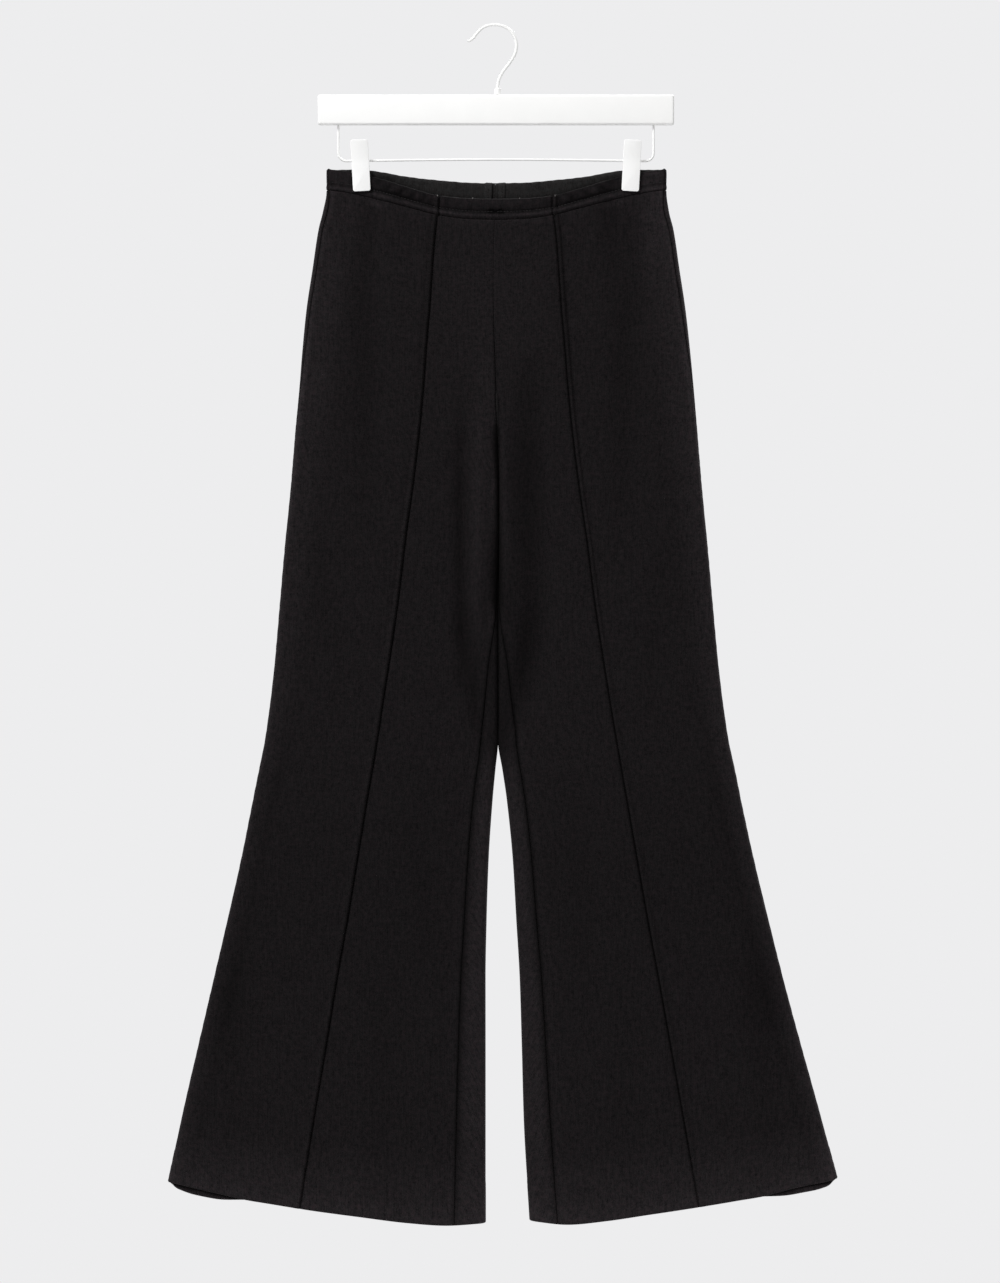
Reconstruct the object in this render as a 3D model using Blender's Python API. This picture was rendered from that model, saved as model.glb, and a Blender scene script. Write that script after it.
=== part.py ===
"""Kick flare trousers hanging flat from a clip hanger.

Metres, +Z up, the front of the garment faces -Y, and +X is to the right as seen from the front. "Left" and "right"
are as seen from the front too. The origin is the inner top of the hanger's hook, where it sits on a peg.

Every garment section is worked out in millimetres: a path of cloth runs from the centre front (or, below the crotch,
from the inner fold of the leg) across the front to the side fold and back across the back. The panels take their
stretch of that path, with a wall on its inner side.
"""

import math
from collections import namedtuple

import bmesh
import bpy
import numpy as np
from mathutils import Matrix, Vector

MM = 0.001

# Garment, mm
WAIST_DROP = 143.5  # hook seat down to the waist edge at the side seams
GARMENT_X = 1.5  # centre line of the garment from the hook seat
BAND_HEIGHT = 20.4
BAND_WALL = 2.6  # folded casing with its elastic
CLOTH_WALL = 1.3
HEM_WALL = 2.5  # hem turned up inside
HEM_DEPTH = 32.0
HEM_DOWN = 1010.4  # waist edge to hem at the side seams
SEAM_GAP = 0.3
SPLIT_TOP = 215.0  # the rise seam turns inwards from here
CROTCH_DOWN = 310.0  # and meets at the crotch point here
RISE_CURVE = 0.75
LEG_SHAPE_TOP, LEG_SHAPE_BOTTOM = 190.0, 440.0  # the body's one curve across turns into one for each leg
FOLD_ROUND = 1.3  # width of a fold's rounding by its half thickness
TUCK_RISE = 1.3
BAND_RIDGE_RISE = 0.4
WAIST_DIP_BOTTOM = 240.0  # the waist's curve has faded out here
HEM_DIP_TOP = 800.0  # and the hem's begins here
HEM_DIP_GROWTH = 1.4

# Hanger, mm
BAR_LENGTH, BAR_HEIGHT, BAR_DEPTH = 356.0, 30.0, 12.0
BAR_TOP_DROP = 68.9
BAR_EDGE = 2.2
HOOK_WIRE = 3.0
HOOK_STEM_X = 3.2
HOOK_INSET = 20.0  # stem held inside the bar
COLLAR_DIAMETER, COLLAR_HEIGHT, COLLAR_CHAMFER = 6.4, 6.5, 0.8
COLLAR_SIDES = 20
RAIL_WIRE = 2.3
RAIL_LEFT_X, RAIL_RIGHT_X = -156.2, 159.1
RAIL_DROP = 135.0  # hook seat down to the rail at its bends
RAIL_BOW = 1.5  # the middle of the rail is this much higher
RAIL_BEND = 8.0
RAIL_INSET = 14.0
BORE_CLEARANCE = 0.3
BORE_OVERRUN = 2.0
RAIL_BEND_STEPS, RAIL_RUN_STEPS = 6, 14
CLIP_WIDTH, CLIP_HEIGHT, CLIP_CORNER = 17.5, 51.3, 2.2
CLIP_GRIP = 20.7  # rail up to the top of the clip
CLIP_LEAN = math.radians(3.1)  # the jaws lean towards each other
CLIP_LEFT_X, CLIP_RIGHT_X = -134.2, 137.2  # on the rail
CLIP_RISE = 0.2  # the rail's bow at the clips
JAW_INNER = 3.6  # half the space between the jaws at the cloth
JAW_PLATE, JAW_TIP_PLATE = 2.4, 1.9
GRIP_STEP, GRIP_SPLAY = 0.4, 3.4  # the grips stand further apart just above the boss, and at their tops
BOSS_HEIGHT = 6.4
BOSS_BORE, BOSS_BORE_STEPS = 1.95, 9
SPRING_STRIP, SPRING_WIDTH, SPRING_REACH = 0.8, 8.0, 15.0
SPRING_BEND_RISE = 2.5
SPRING_BOTTOM_HALF, SPRING_BEND_HALF, SPRING_TOP_HALF = 1.4, 2.6, 5.6
PINCH_DEPTH = 2.85  # half the thickness of the two bands under a clip
PINCH_X = (-134.5, 135.0)  # from the garment's centre line
PINCH_FLAT, PINCH_REACH = 10.0, 34.0
PINCH_TOP, PINCH_BOTTOM = 22.0, 132.0

SIGN = {"left": -1, "right": 1}

# Each row is a level, mm below the waist edge at the side seams. The x of each half's inner and outer edge is from the
# centre line. Front, back and fold are half thicknesses: in the middle of the front, of the back, and by the folds.
Level = namedtuple("Level", "down left_out left_in right_in right_out front back fold")
LEVELS = [
    Level(0, -169.5, -0.5, -0.5, 170.5, 11, 9, 5),
    Level(22, -169.5, -1.5, -1.5, 170.5, 12, 10, 5.5),
    Level(42, -173.0, -2.2, -2.2, 173.0, 13, 12, 6.5),
    Level(60, -177.5, -2.7, -2.7, 177.5, 14, 14, 8),
    Level(100, -183.5, -2.8, -2.8, 183.5, 16, 17, 10),
    Level(140, -189.5, -2.3, -2.3, 189.5, 17, 20, 11),
    Level(180, -193.5, -1.1, -1.1, 194.0, 18, 22, 11),
    Level(220, -196.7, 0.0, 0.0, 197.8, 18, 23, 11),
    Level(260, -200.5, 1.3, 1.3, 201.2, 18, 23, 11),
    Level(320, -205.5, 1.9, 1.9, 206.2, 17, 21, 10),
    Level(380, -211.5, 2.0, 2.0, 212.0, 16, 19, 10),
    Level(440, -216.7, 2.0, 2.0, 217.3, 15, 17, 9.5),
    Level(500, -222.0, 2.0, 2.0, 223.0, 15, 16, 9),
    Level(570, -231.0, 2.0, 2.0, 232.5, 14, 15, 9),
    Level(600, -237.0, -0.8, 6.6, 239.0, 14, 15, 9),
    Level(630, -243.0, -3.6, 11.0, 245.0, 14, 15, 9),
    Level(690, -255.0, -7.6, 17.0, 258.0, 14, 15, 9),
    Level(750, -268.5, -9.6, 20.5, 272.5, 14, 15, 9),
    Level(810, -282.5, -10.6, 24.0, 287.5, 14, 15, 9),
    Level(870, -296.5, -10.6, 26.0, 303.5, 14, 15, 9),
    Level(930, -310.5, -10.6, 28.0, 320.0, 14, 15, 9),
    Level(1010.4, -328.0, -10.6, 34.0, 341.5, 15, 15, 9),
]

# Lines on the cloth. The tucks are x from the centre line. The side seam is mm of cloth in front of the side fold, and
# the inseams are mm of cloth from the inner fold round towards the front.
Line = namedtuple("Line", "down left_tuck right_tuck side_seam left_inseam right_inseam")
LINES = [
    Line(0, -58.6, 58.4, 3.8, 0, 0),
    Line(20, -59.0, 58.6, 4.0, 0, 0),
    Line(55, -62.2, 61.8, 7.5, 0, 0),
    Line(90, -64.4, 63.9, 8.2, 0, 0),
    Line(120, -66.0, 65.6, 6.0, 0, 0),
    Line(160, -68.9, 68.5, 2.0, 0, 0),
    Line(225, -73.2, 73.2, 0, 0, 0),
    Line(310, -82.4, 82.7, 0, 0, 0),
    Line(370, -90.6, 91.3, 0, 5, 2),
    Line(430, -97.8, 98.9, 0, 11, 5),
    Line(490, -106.6, 107.8, 0, 14, 13.5),
    Line(530, -112.8, 114.2, 0, 18, 18),
    Line(570, -118.8, 120.9, 0, 21, 21.5),
    Line(630, -129.0, 131.3, 0, 22.5, 22),
    Line(690, -138.8, 141.7, 0, 23.5, 22.5),
    Line(750, -148.7, 152.3, 0, 25, 23.5),
    Line(810, -159.4, 163.4, 0, 27.5, 25.5),
    Line(870, -170.0, 175.0, 0, 30, 27.5),
    Line(930, -181.5, 187.0, 0, 31.8, 29.7),
    Line(1010.4, -196.4, 203.2, 0, 34.5, 31),
]

# How far the waist edge and the band's seam hang below the side seams, by share of the way from the centre to a side.
WaistDip = namedtuple("WaistDip", "share front_top front_seam back")
WAIST_DIPS = [
    WaistDip(0.00, 28.8, 29.3, 14.4),
    WaistDip(0.16, 27.8, 28.0, 13.8),
    WaistDip(0.35, 24.2, 22.6, 11.2),
    WaistDip(0.46, 19.4, 17.9, 9.2),
    WaistDip(0.56, 14.6, 13.0, 6.8),
    WaistDip(0.66, 9.4, 8.8, 3.8),
    WaistDip(0.76, 5.0, 5.0, 1.2),
    WaistDip(0.88, 1.8, 2.0, 0.3),
    WaistDip(1.00, 0.0, 0.0, 0.0),
]

# How far the hem hangs below its level at the side seams, by share of the way from the side fold to the inner fold.
HemDip = namedtuple("HemDip", "share left right back_lower")
HEM_DIPS = [
    HemDip(0.00, 1.5, -2.0, 0.0),
    HemDip(0.03, 5.0, 2.0, 3.4),
    HemDip(0.08, 9.2, 5.2, 4.4),
    HemDip(0.14, 13.2, 9.0, 4.2),
    HemDip(0.24, 19.3, 16.0, 0.6),
    HemDip(0.32, 23.0, 19.5, -1.0),
    HemDip(0.45, 29.0, 26.0, -2.0),
    HemDip(0.60, 35.0, 33.0, -2.0),
    HemDip(0.75, 40.5, 39.0, -2.0),
    HemDip(0.88, 42.0, 42.0, -1.2),
    HemDip(1.00, 41.0, 39.5, 0.0),
]

# Soft hollows (+) and ridges (-) in one layer, each along a straight line between two levels.
Fold = namedtuple("Fold", "layer top_x top_down bottom_x bottom_down half_width depth")
FOLDS = [
    Fold("front", -36, 250, -38, 540, 13, 2.6),
    Fold("front", -19, 290, -16, 500, 9, -1.2),
    Fold("front", 29, 245, 27, 530, 13, 2.6),
    Fold("front", 13, 290, 15, 500, 8, -1.2),
    Fold("front", -134, -60, -141, 400, 21, 3.2),
    Fold("front", 136, -60, 142, 400, 21, 3.2),
    Fold("front", -268, 740, -262, 900, 22, 1.8),
    Fold("front", 274, 740, 268, 900, 22, 1.8),
    Fold("back", -28, 270, -34, 560, 13, 3.0),
    Fold("back", 30, 280, 38, 545, 14, 2.8),
    Fold("back", -62, 240, -128, 400, 18, 2.8),
    Fold("back", 66, 250, 122, 390, 17, 2.4),
    Fold("back", -134, -60, -150, 330, 22, 3.4),
    Fold("back", 136, -60, 148, 360, 21, 3.0),
    Fold("back", -150, 620, -176, 960, 26, 2.2),
    Fold("back", 168, 660, 184, 940, 24, 2.0),
]

PATH_STEPS = 160
# Columns of a panel in mm: from the front's inner edge, across the tuck's pleat, before the side seam, past the side
# fold, and before the stretch of the back that turns round the inner fold.
INNER_EDGE_COLUMNS = (0, 2.5, 6, 11, 18)
PLEAT_COLUMNS = (-1.2, 0, 0.6, 1.9, 3.1)
PLEAT_RISES = (0, -0.3, 0.8 * TUCK_RISE, TUCK_RISE, 0)
SIDE_SEAM_COLUMNS = (-8, -5, -2.3, 0)
SIDE_FOLD_COLUMNS = (3, 7, 12, 18)
BEFORE_WRAP_COLUMNS = (-18, -11, -6, -2.5)
LEAST_WRAP = 3.0
# Columns as shares of the cloth: from the inner edge to the tuck, from the tuck to the side seam, from the side fold
# to the back's end, and round the inner fold. They are close together where the clips press.
INNER_COLUMNS = (0.2, 0.4, 0.6, 0.8)
OUTER_COLUMNS = (0.13, 0.27, 0.42, 0.585, 0.69, 0.795, 0.895)
BACK_COLUMNS = (0.145, 0.205, 0.265, 0.38, 0.50, 0.62, 0.74)
WRAP_COLUMNS = (0, 0.2, 0.5, 1)
BODY_LEVELS = [BAND_HEIGHT + SEAM_GAP, 44, 74, 110, 150, 190, 222, 246, 266, 284, 298, 306, 310.5, 330, 365, 410,
               460, 510, 548, 572, 594, 625, 670, 730, 800, 880, 940, HEM_DOWN - HEM_DEPTH - 1.2,
               HEM_DOWN - HEM_DEPTH, HEM_DOWN]
# Band rows: mm below its top edge, and how far the outer face stands out there.
BandRow = namedtuple("BandRow", "down rise")
BAND_ROWS = [
    BandRow(0.0, -0.7),
    BandRow(0.9, 0.0),
    BandRow(13.2, 0.0),
    BandRow(14.4, -0.5),
    BandRow(15.6, BAND_RIDGE_RISE),
    BandRow(19.2, BAND_RIDGE_RISE),
    BandRow(BAND_HEIGHT, -0.2),
]


def smooth(rows, name, at):
    """The named column of a table at one or more places, on a smooth curve through its rows that never overshoots."""
    knots = np.array([row[0] for row in rows], float)
    values = np.array([getattr(row, name) for row in rows], float)
    climbs = np.diff(values) / np.diff(knots)
    before, after = climbs[:-1], climbs[1:]
    together = before * after > 0
    slopes = np.concatenate([climbs[:1], np.zeros(len(before)), climbs[-1:]])
    slopes[1:-1][together] = 2 * before[together] * after[together] / (before + after)[together]
    at = np.clip(at, knots[0], knots[-1])
    low = np.clip(np.searchsorted(knots, at, side="right") - 1, 0, len(knots) - 2)
    step = knots[low + 1] - knots[low]
    t = (at - knots[low]) / step
    return (
        values[low] * (1 + 2 * t) * (1 - t) ** 2
        + slopes[low] * step * t * (1 - t) ** 2
        + values[low + 1] * t**2 * (3 - 2 * t)
        + slopes[low + 1] * step * t**2 * (t - 1)
    )


def ease(share):
    """0 to 1 with no corner at either end."""
    share = np.clip(share, 0, 1)
    return share * share * (3 - 2 * share)


def quarter(distance, radius):
    """The rounding of a folded edge: 0 on the edge, 1 from the radius inwards."""
    left = 1 - np.clip(distance / radius, 0, 1)
    return np.sqrt(1 - left * left)


def legs_share(down):
    """0 where the two halves are one tube, 1 below the crotch point, along the curve of the rise seam between."""
    t = np.clip((down - SPLIT_TOP) / (CROTCH_DOWN - SPLIT_TOP), 0, 1)
    return 1 - (1 - t * t) ** RISE_CURVE


def pinch(x, down):
    """How strongly the clips hold the two layers together."""
    from_clip = np.min([np.abs(x - clip) for clip in PINCH_X], axis=0)
    across = 1 - ease((from_clip - PINCH_FLAT) / (PINCH_REACH - PINCH_FLAT))
    return across * (1 - ease((down - PINCH_TOP) / (PINCH_BOTTOM - PINCH_TOP)))


def folds(layer, x, down):
    """The depth of the layer's hollows and ridges."""
    total = np.zeros_like(x)
    for fold in FOLDS:
        t = (down - fold.top_down) / (fold.bottom_down - fold.top_down)
        if fold.layer != layer or not 0 < t < 1:
            continue
        middle = fold.top_x + (fold.bottom_x - fold.top_x) * t
        total += fold.depth * math.sin(math.pi * t) * np.exp(-(((x - middle) / fold.half_width) ** 2))
    return total


def layer_depth(layer, down, x, span, width):
    """Half the thickness of the garment, from its middle plane to the outer face of one layer."""
    middle = smooth(LEVELS, layer, down)
    fold = smooth(LEVELS, "fold", down)
    torso = fold + (middle - fold) * (1 - (span / width) ** 2)
    leg = fold + (middle - fold) * (1 - (2 * span / width - 1) ** 2)
    shaped = ease((down - LEG_SHAPE_TOP) / (LEG_SHAPE_BOTTOM - LEG_SHAPE_TOP))
    split = legs_share(down)
    inner_round = 1 - split * (1 - quarter(span, FOLD_ROUND * fold))
    outer_round = quarter(width - span, FOLD_ROUND * fold)
    depth = (torso + (leg - torso) * shaped - folds(layer, x, down)) * inner_round
    held = pinch(x, down)
    return (depth * (1 - held) + PINCH_DEPTH * held) * outer_round


def layer_dip(layer, side, down, span, width):
    """How far the cloth at this level hangs below it, because the waist and the hem are curved."""
    share = span / width
    if layer == "front":
        top = smooth(WAIST_DIPS, "front_top", share)
        seam = smooth(WAIST_DIPS, "front_seam", share)
        waist = top + (seam - top) * min(down / BAND_HEIGHT, 1)
    else:
        waist = smooth(WAIST_DIPS, "back", share)
    hem = smooth(HEM_DIPS, side, 1 - share)
    if layer == "back":
        hem = hem + smooth(HEM_DIPS, "back_lower", 1 - share)
    waist_fade = 1 - ease((down - BAND_HEIGHT) / (WAIST_DIP_BOTTOM - BAND_HEIGHT))
    hem_fade = np.clip((down - HEM_DIP_TOP) / (HEM_DOWN - HEM_DIP_TOP), 0, 1) ** HEM_DIP_GROWTH
    return waist * waist_fade + hem * hem_fade


class Section:
    """The outer face of one half of the garment at one level, as a path along the cloth, mm."""

    def __init__(self, side, down):
        sign = SIGN[side]
        x_in = smooth(LEVELS, side + "_in", down) + sign * SEAM_GAP / 2
        x_out = smooth(LEVELS, side + "_out", down)
        width = abs(x_out - x_in)
        span = width * (1 - np.cos(np.linspace(0, math.pi, PATH_STEPS))) / 2
        x = x_in + sign * span
        layers = {}
        for layer, facing in (("front", -1), ("back", 1)):
            depth = layer_depth(layer, down, x, span, width)
            dip = layer_dip(layer, side, down, span, width)
            layers[layer] = np.column_stack([x, facing * depth, -WAIST_DROP - down - dip])
        around = [layers["front"], layers["back"][::-1][1:]]
        if down >= CROTCH_DOWN:
            around.append(layers["front"][1:])
        self.points = np.concatenate(around)
        steps = np.hypot(*np.diff(self.points[:, :2], axis=0).T)
        self.distance = np.concatenate([[0], np.cumsum(steps)])
        tangent = np.gradient(self.points[:, :2], self.distance, axis=0)
        tangent /= np.linalg.norm(tangent, axis=1)[:, None]
        self.outward = sign * np.column_stack([tangent[:, 1], -tangent[:, 0]])
        if down < CROTCH_DOWN:
            for end in (0, -1):  # the wall never leans over the centre line
                self.outward[end, 0] = sign * min(sign * self.outward[end, 0], 0)
        fold_index = PATH_STEPS - 1
        self.side_fold = self.distance[fold_index]
        self.back_end = self.distance[2 * PATH_STEPS - 2]
        self.tuck = np.interp(abs(smooth(LINES, side + "_tuck", down) - x_in), span, self.distance[:PATH_STEPS])
        self.side_seam = self.side_fold - smooth(LINES, "side_seam", down)
        self.inseam = smooth(LINES, side + "_inseam", down) if down >= CROTCH_DOWN else 0.0

    def wall(self, places, rises, thickness):
        """Outer and inner points at the places along the path."""
        at = np.column_stack([np.interp(places, self.distance, self.points[:, k]) for k in range(3)])
        out = np.column_stack([np.interp(places, self.distance, self.outward[:, k]) for k in range(2)])
        out /= np.linalg.norm(out, axis=1)[:, None]
        outer, inner = at.copy(), at.copy()
        outer[:, :2] += out * np.array(rises)[:, None]
        inner[:, :2] -= out * thickness
        return outer, inner


def front_places(section, first):
    """Columns of a front panel: mm along the path, and how far each stands out. The pin tuck is a raised pleat."""
    tuck, last = section.tuck, section.side_seam - SEAM_GAP / 2
    near_inner = first + np.array(INNER_EDGE_COLUMNS)
    pleat = tuck + np.array(PLEAT_COLUMNS)
    inner_half = near_inner[-1] + (pleat[0] - near_inner[-1]) * np.array(INNER_COLUMNS)
    outer_half = tuck + (last - tuck) * np.array(OUTER_COLUMNS)
    near_side = last + np.array(SIDE_SEAM_COLUMNS)
    places = np.concatenate([near_inner, inner_half, pleat, outer_half, near_side])
    rises = np.zeros(len(places))
    crest = len(near_inner) + len(inner_half)
    rises[crest:crest + len(pleat)] = PLEAT_RISES
    return places, rises


def back_places(section):
    """Columns of a back panel, from the side seam round the back to the centre seam or the inseam."""
    first = section.side_seam + SEAM_GAP / 2
    around_side = section.side_fold + np.array(SIDE_FOLD_COLUMNS)
    start = [first, (first + around_side[0]) / 2]
    middle = section.side_fold + (section.back_end - section.side_fold) * np.array(BACK_COLUMNS)
    last = section.back_end + section.inseam - SEAM_GAP / 2
    wrapped = max(section.inseam, LEAST_WRAP)
    around_inner = last - wrapped + np.array(BEFORE_WRAP_COLUMNS)
    wrap = last - wrapped * (1 - np.array(WRAP_COLUMNS))
    places = np.concatenate([start, around_side, middle, around_inner, wrap])
    return places, np.zeros(len(places))


def sheet(name, outer_rows, inner_rows, material):
    """A closed wall between two grids of points, given in mm."""
    rows, columns = len(outer_rows), len(outer_rows[0])
    points = np.concatenate([np.concatenate(outer_rows), np.concatenate(inner_rows)]) * MM
    points[:, 0] += GARMENT_X * MM

    def outer(r, c):
        return r * columns + c

    def inner(r, c):
        return rows * columns + r * columns + c

    faces = []
    for r in range(rows - 1):
        for c in range(columns - 1):
            faces += two_triangles(outer(r, c), outer(r + 1, c), outer(r + 1, c + 1), outer(r, c + 1))
            faces += two_triangles(inner(r, c), inner(r, c + 1), inner(r + 1, c + 1), inner(r + 1, c), turned=True)
    for c in range(columns - 1):
        faces += two_triangles(outer(0, c), outer(0, c + 1), inner(0, c + 1), inner(0, c))
        last = rows - 1
        faces += two_triangles(outer(last, c), inner(last, c), inner(last, c + 1), outer(last, c + 1))
    for r in range(rows - 1):
        faces += two_triangles(outer(r, 0), inner(r, 0), inner(r + 1, 0), outer(r + 1, 0))
        last = columns - 1
        faces += two_triangles(outer(r, last), outer(r + 1, last), inner(r + 1, last), inner(r, last))
    return add_mesh(name, points, faces, material)


def two_triangles(a, b, c, d, turned=False):
    """Two triangles from a quad. A turned quad is cut along the same diagonal as its partner across the wall."""
    return [(b, c, d), (b, d, a)] if turned else [(a, b, c), (a, c, d)]


def add_mesh(name, points, faces, material):
    mesh = bpy.data.meshes.new(name)
    mesh.from_pydata([tuple(p) for p in points], [], faces)
    shape = bmesh.new()
    shape.from_mesh(mesh)
    bmesh.ops.recalc_face_normals(shape, faces=shape.faces)
    shape.to_mesh(mesh)
    shape.free()
    mesh.shade_smooth()
    mesh.set_sharp_from_angle(angle=math.radians(40))
    mesh.materials.append(material)
    thing = bpy.data.objects.new(name, mesh)
    bpy.context.scene.collection.objects.link(thing)
    return thing


def paint(name, colour, roughness, metallic=0.0):
    material = bpy.data.materials.new(name)
    material.use_nodes = True
    shader = material.node_tree.nodes["Principled BSDF"]
    shader.inputs["Base Color"].default_value = (*colour, 1)
    shader.inputs["Roughness"].default_value = roughness
    shader.inputs["Metallic"].default_value = metallic
    return material


def build_front(side, cloth):
    outer, inner = [], []
    for down in BODY_LEVELS:
        section = Section(side, down)
        first = section.inseam + SEAM_GAP / 2 if down >= CROTCH_DOWN else 0.0
        places, rises = front_places(section, first)
        faces = section.wall(places, rises, HEM_WALL if down >= HEM_DOWN - HEM_DEPTH else CLOTH_WALL)
        outer.append(faces[0])
        inner.append(faces[1])
    sheet(f"front_{side}", outer, inner, cloth)


def build_back(side, cloth):
    outer, inner = [], []
    for down in BODY_LEVELS:
        section = Section(side, down)
        places, rises = back_places(section)
        faces = section.wall(places, rises, HEM_WALL if down >= HEM_DOWN - HEM_DEPTH else CLOTH_WALL)
        outer.append(faces[0])
        inner.append(faces[1])
    sheet(f"back_{side}", outer, inner, cloth)


def build_front_band(cloth):
    """One piece from side seam to side seam, so the two halves' columns are put together at the centre."""
    outer, inner = [], []
    for row in BAND_ROWS:
        halves = []
        for side in ("left", "right"):
            section = Section(side, row.down)
            places, rises = front_places(section, 0.0)
            halves.append(section.wall(places, rises + row.rise, BAND_WALL + min(row.rise, 0)))
        (left_outer, left_inner), (right_outer, right_inner) = halves
        outer.append(np.concatenate([left_outer[::-1], right_outer[1:]]))
        inner.append(np.concatenate([left_inner[::-1], right_inner[1:]]))
    sheet("waistband_front", outer, inner, cloth)


def build_back_band(side, cloth):
    outer, inner = [], []
    for row in BAND_ROWS:
        section = Section(side, row.down)
        places, rises = back_places(section)
        faces = section.wall(places, rises + row.rise, BAND_WALL + min(row.rise, 0))
        outer.append(faces[0])
        inner.append(faces[1])
    sheet(f"waistband_back_{side}", outer, inner, cloth)


def through(points, per_span):
    """A smooth curve through a few points, with that many steps between each two."""
    points = [Vector(p) for p in points]
    ends = [2 * points[0] - points[1], *points, 2 * points[-1] - points[-2]]
    curve = []
    for a, b, c, d in zip(ends, ends[1:], ends[2:], ends[3:]):
        for step in range(per_span):
            t = step / per_span
            curve.append(
                0.5 * ((2 * b) + (c - a) * t + (2 * a - 5 * b + 4 * c - d) * t**2 + (3 * b - a - 3 * c + d) * t**3)
            )
    return [*curve, points[-1]]


def wire(name, points, diameter, material):
    curve = bpy.data.curves.new(name, "CURVE")
    curve.dimensions = "3D"
    curve.bevel_depth = diameter / 2 * MM
    curve.bevel_resolution = 2
    curve.use_fill_caps = True
    spline = curve.splines.new("POLY")
    spline.points.add(len(points) - 1)
    for place, point in zip(spline.points, points):
        place.co = (*(Vector(point) * MM), 1)
    curve.materials.append(material)
    thing = bpy.data.objects.new(name, curve)
    bpy.context.scene.collection.objects.link(thing)
    return thing


def box(name, size, centre, material):
    shape = bmesh.new()
    bmesh.ops.create_cube(shape, size=1)
    bmesh.ops.scale(shape, vec=Vector(size) * MM, verts=shape.verts)
    bmesh.ops.translate(shape, vec=Vector(centre) * MM, verts=shape.verts)
    mesh = bpy.data.meshes.new(name)
    shape.to_mesh(mesh)
    shape.free()
    mesh.materials.append(material)
    thing = bpy.data.objects.new(name, mesh)
    bpy.context.scene.collection.objects.link(thing)
    return thing


def bore(target, radius, length, top):
    """Cuts an upright round hole that starts at the given point and runs down."""
    shape = bmesh.new()
    bmesh.ops.create_cone(
        shape, cap_ends=True, segments=16, radius1=radius * MM, radius2=radius * MM, depth=length * MM,
        matrix=Matrix.Translation(Vector((top[0], top[1], top[2] - length / 2)) * MM),
    )
    mesh = bpy.data.meshes.new("bore")
    shape.to_mesh(mesh)
    shape.free()
    cutter = bpy.data.objects.new("bore", mesh)
    cutter.hide_render = True
    cutter.display_type = "WIRE"
    bpy.context.scene.collection.objects.link(cutter)
    cut = target.modifiers.new("bore", "BOOLEAN")
    cut.operation = "DIFFERENCE"
    cut.object = cutter


def build_bar(lacquer):
    bar = box(
        "hanger_bar", (BAR_LENGTH, BAR_DEPTH, BAR_HEIGHT),
        (GARMENT_X, 0, -BAR_TOP_DROP - BAR_HEIGHT / 2), lacquer,
    )
    edges = bar.modifiers.new("eased edges", "BEVEL")
    edges.width = BAR_EDGE * MM
    edges.segments = 2
    length = HOOK_INSET + 2 * BORE_OVERRUN
    bore(bar, HOOK_WIRE / 2 + BORE_CLEARANCE, length, (HOOK_STEM_X, 0, -BAR_TOP_DROP + BORE_OVERRUN))
    below = -BAR_TOP_DROP - BAR_HEIGHT - BORE_OVERRUN
    length = RAIL_INSET + 2 * BORE_OVERRUN
    for x in (RAIL_LEFT_X, RAIL_RIGHT_X):
        bore(bar, RAIL_WIRE / 2 + BORE_CLEARANCE, length, (x, 0, below + length))


def build_hook(steel):
    """The hook's wire: a short bent tip, the arc over the peg, and a stem down into the bar."""
    crown = HOOK_WIRE / 2
    route = [
        (-27.0, 0, -15.6), (-21.5, 0, -12.2), (-17.0, 0, -6.4), (-10.4, 0, -0.9), (0.0, 0, crown),
        (11.0, 0, -1.0), (18.0, 0, -7.2), (21.6, 0, -15.6), (21.8, 0, -22.4), (19.6, 0, -29.6),
        (14.2, 0, -38.0), (8.4, 0, -45.6), (4.6, 0, -53.0), (HOOK_STEM_X, 0, -60.0),
    ]
    stem = (HOOK_STEM_X, 0, -BAR_TOP_DROP - HOOK_INSET)
    wire("hanger_hook", [*through(route, 3), stem], HOOK_WIRE, steel)


def build_collar(steel):
    """A turned ring on the stem where it enters the bar."""
    inner, outer = HOOK_WIRE / 2 + BORE_CLEARANCE, COLLAR_DIAMETER / 2
    bottom = -BAR_TOP_DROP + SEAM_GAP
    profile = [
        (inner, bottom), (outer, bottom), (outer, bottom + COLLAR_HEIGHT - COLLAR_CHAMFER),
        (outer - COLLAR_CHAMFER, bottom + COLLAR_HEIGHT), (inner, bottom + COLLAR_HEIGHT),
    ]
    points, faces = [], []
    for step in range(COLLAR_SIDES):
        angle = 2 * math.pi * step / COLLAR_SIDES
        points += [(HOOK_STEM_X + r * math.cos(angle), r * math.sin(angle), z) for r, z in profile]
    for step in range(COLLAR_SIDES):
        here, there = step * len(profile), (step + 1) % COLLAR_SIDES * len(profile)
        for k in range(len(profile)):
            after = (k + 1) % len(profile)
            faces.append((here + k, there + k, there + after, here + after))
    add_mesh("hook_collar", np.array(points) * MM, faces, steel)


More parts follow.
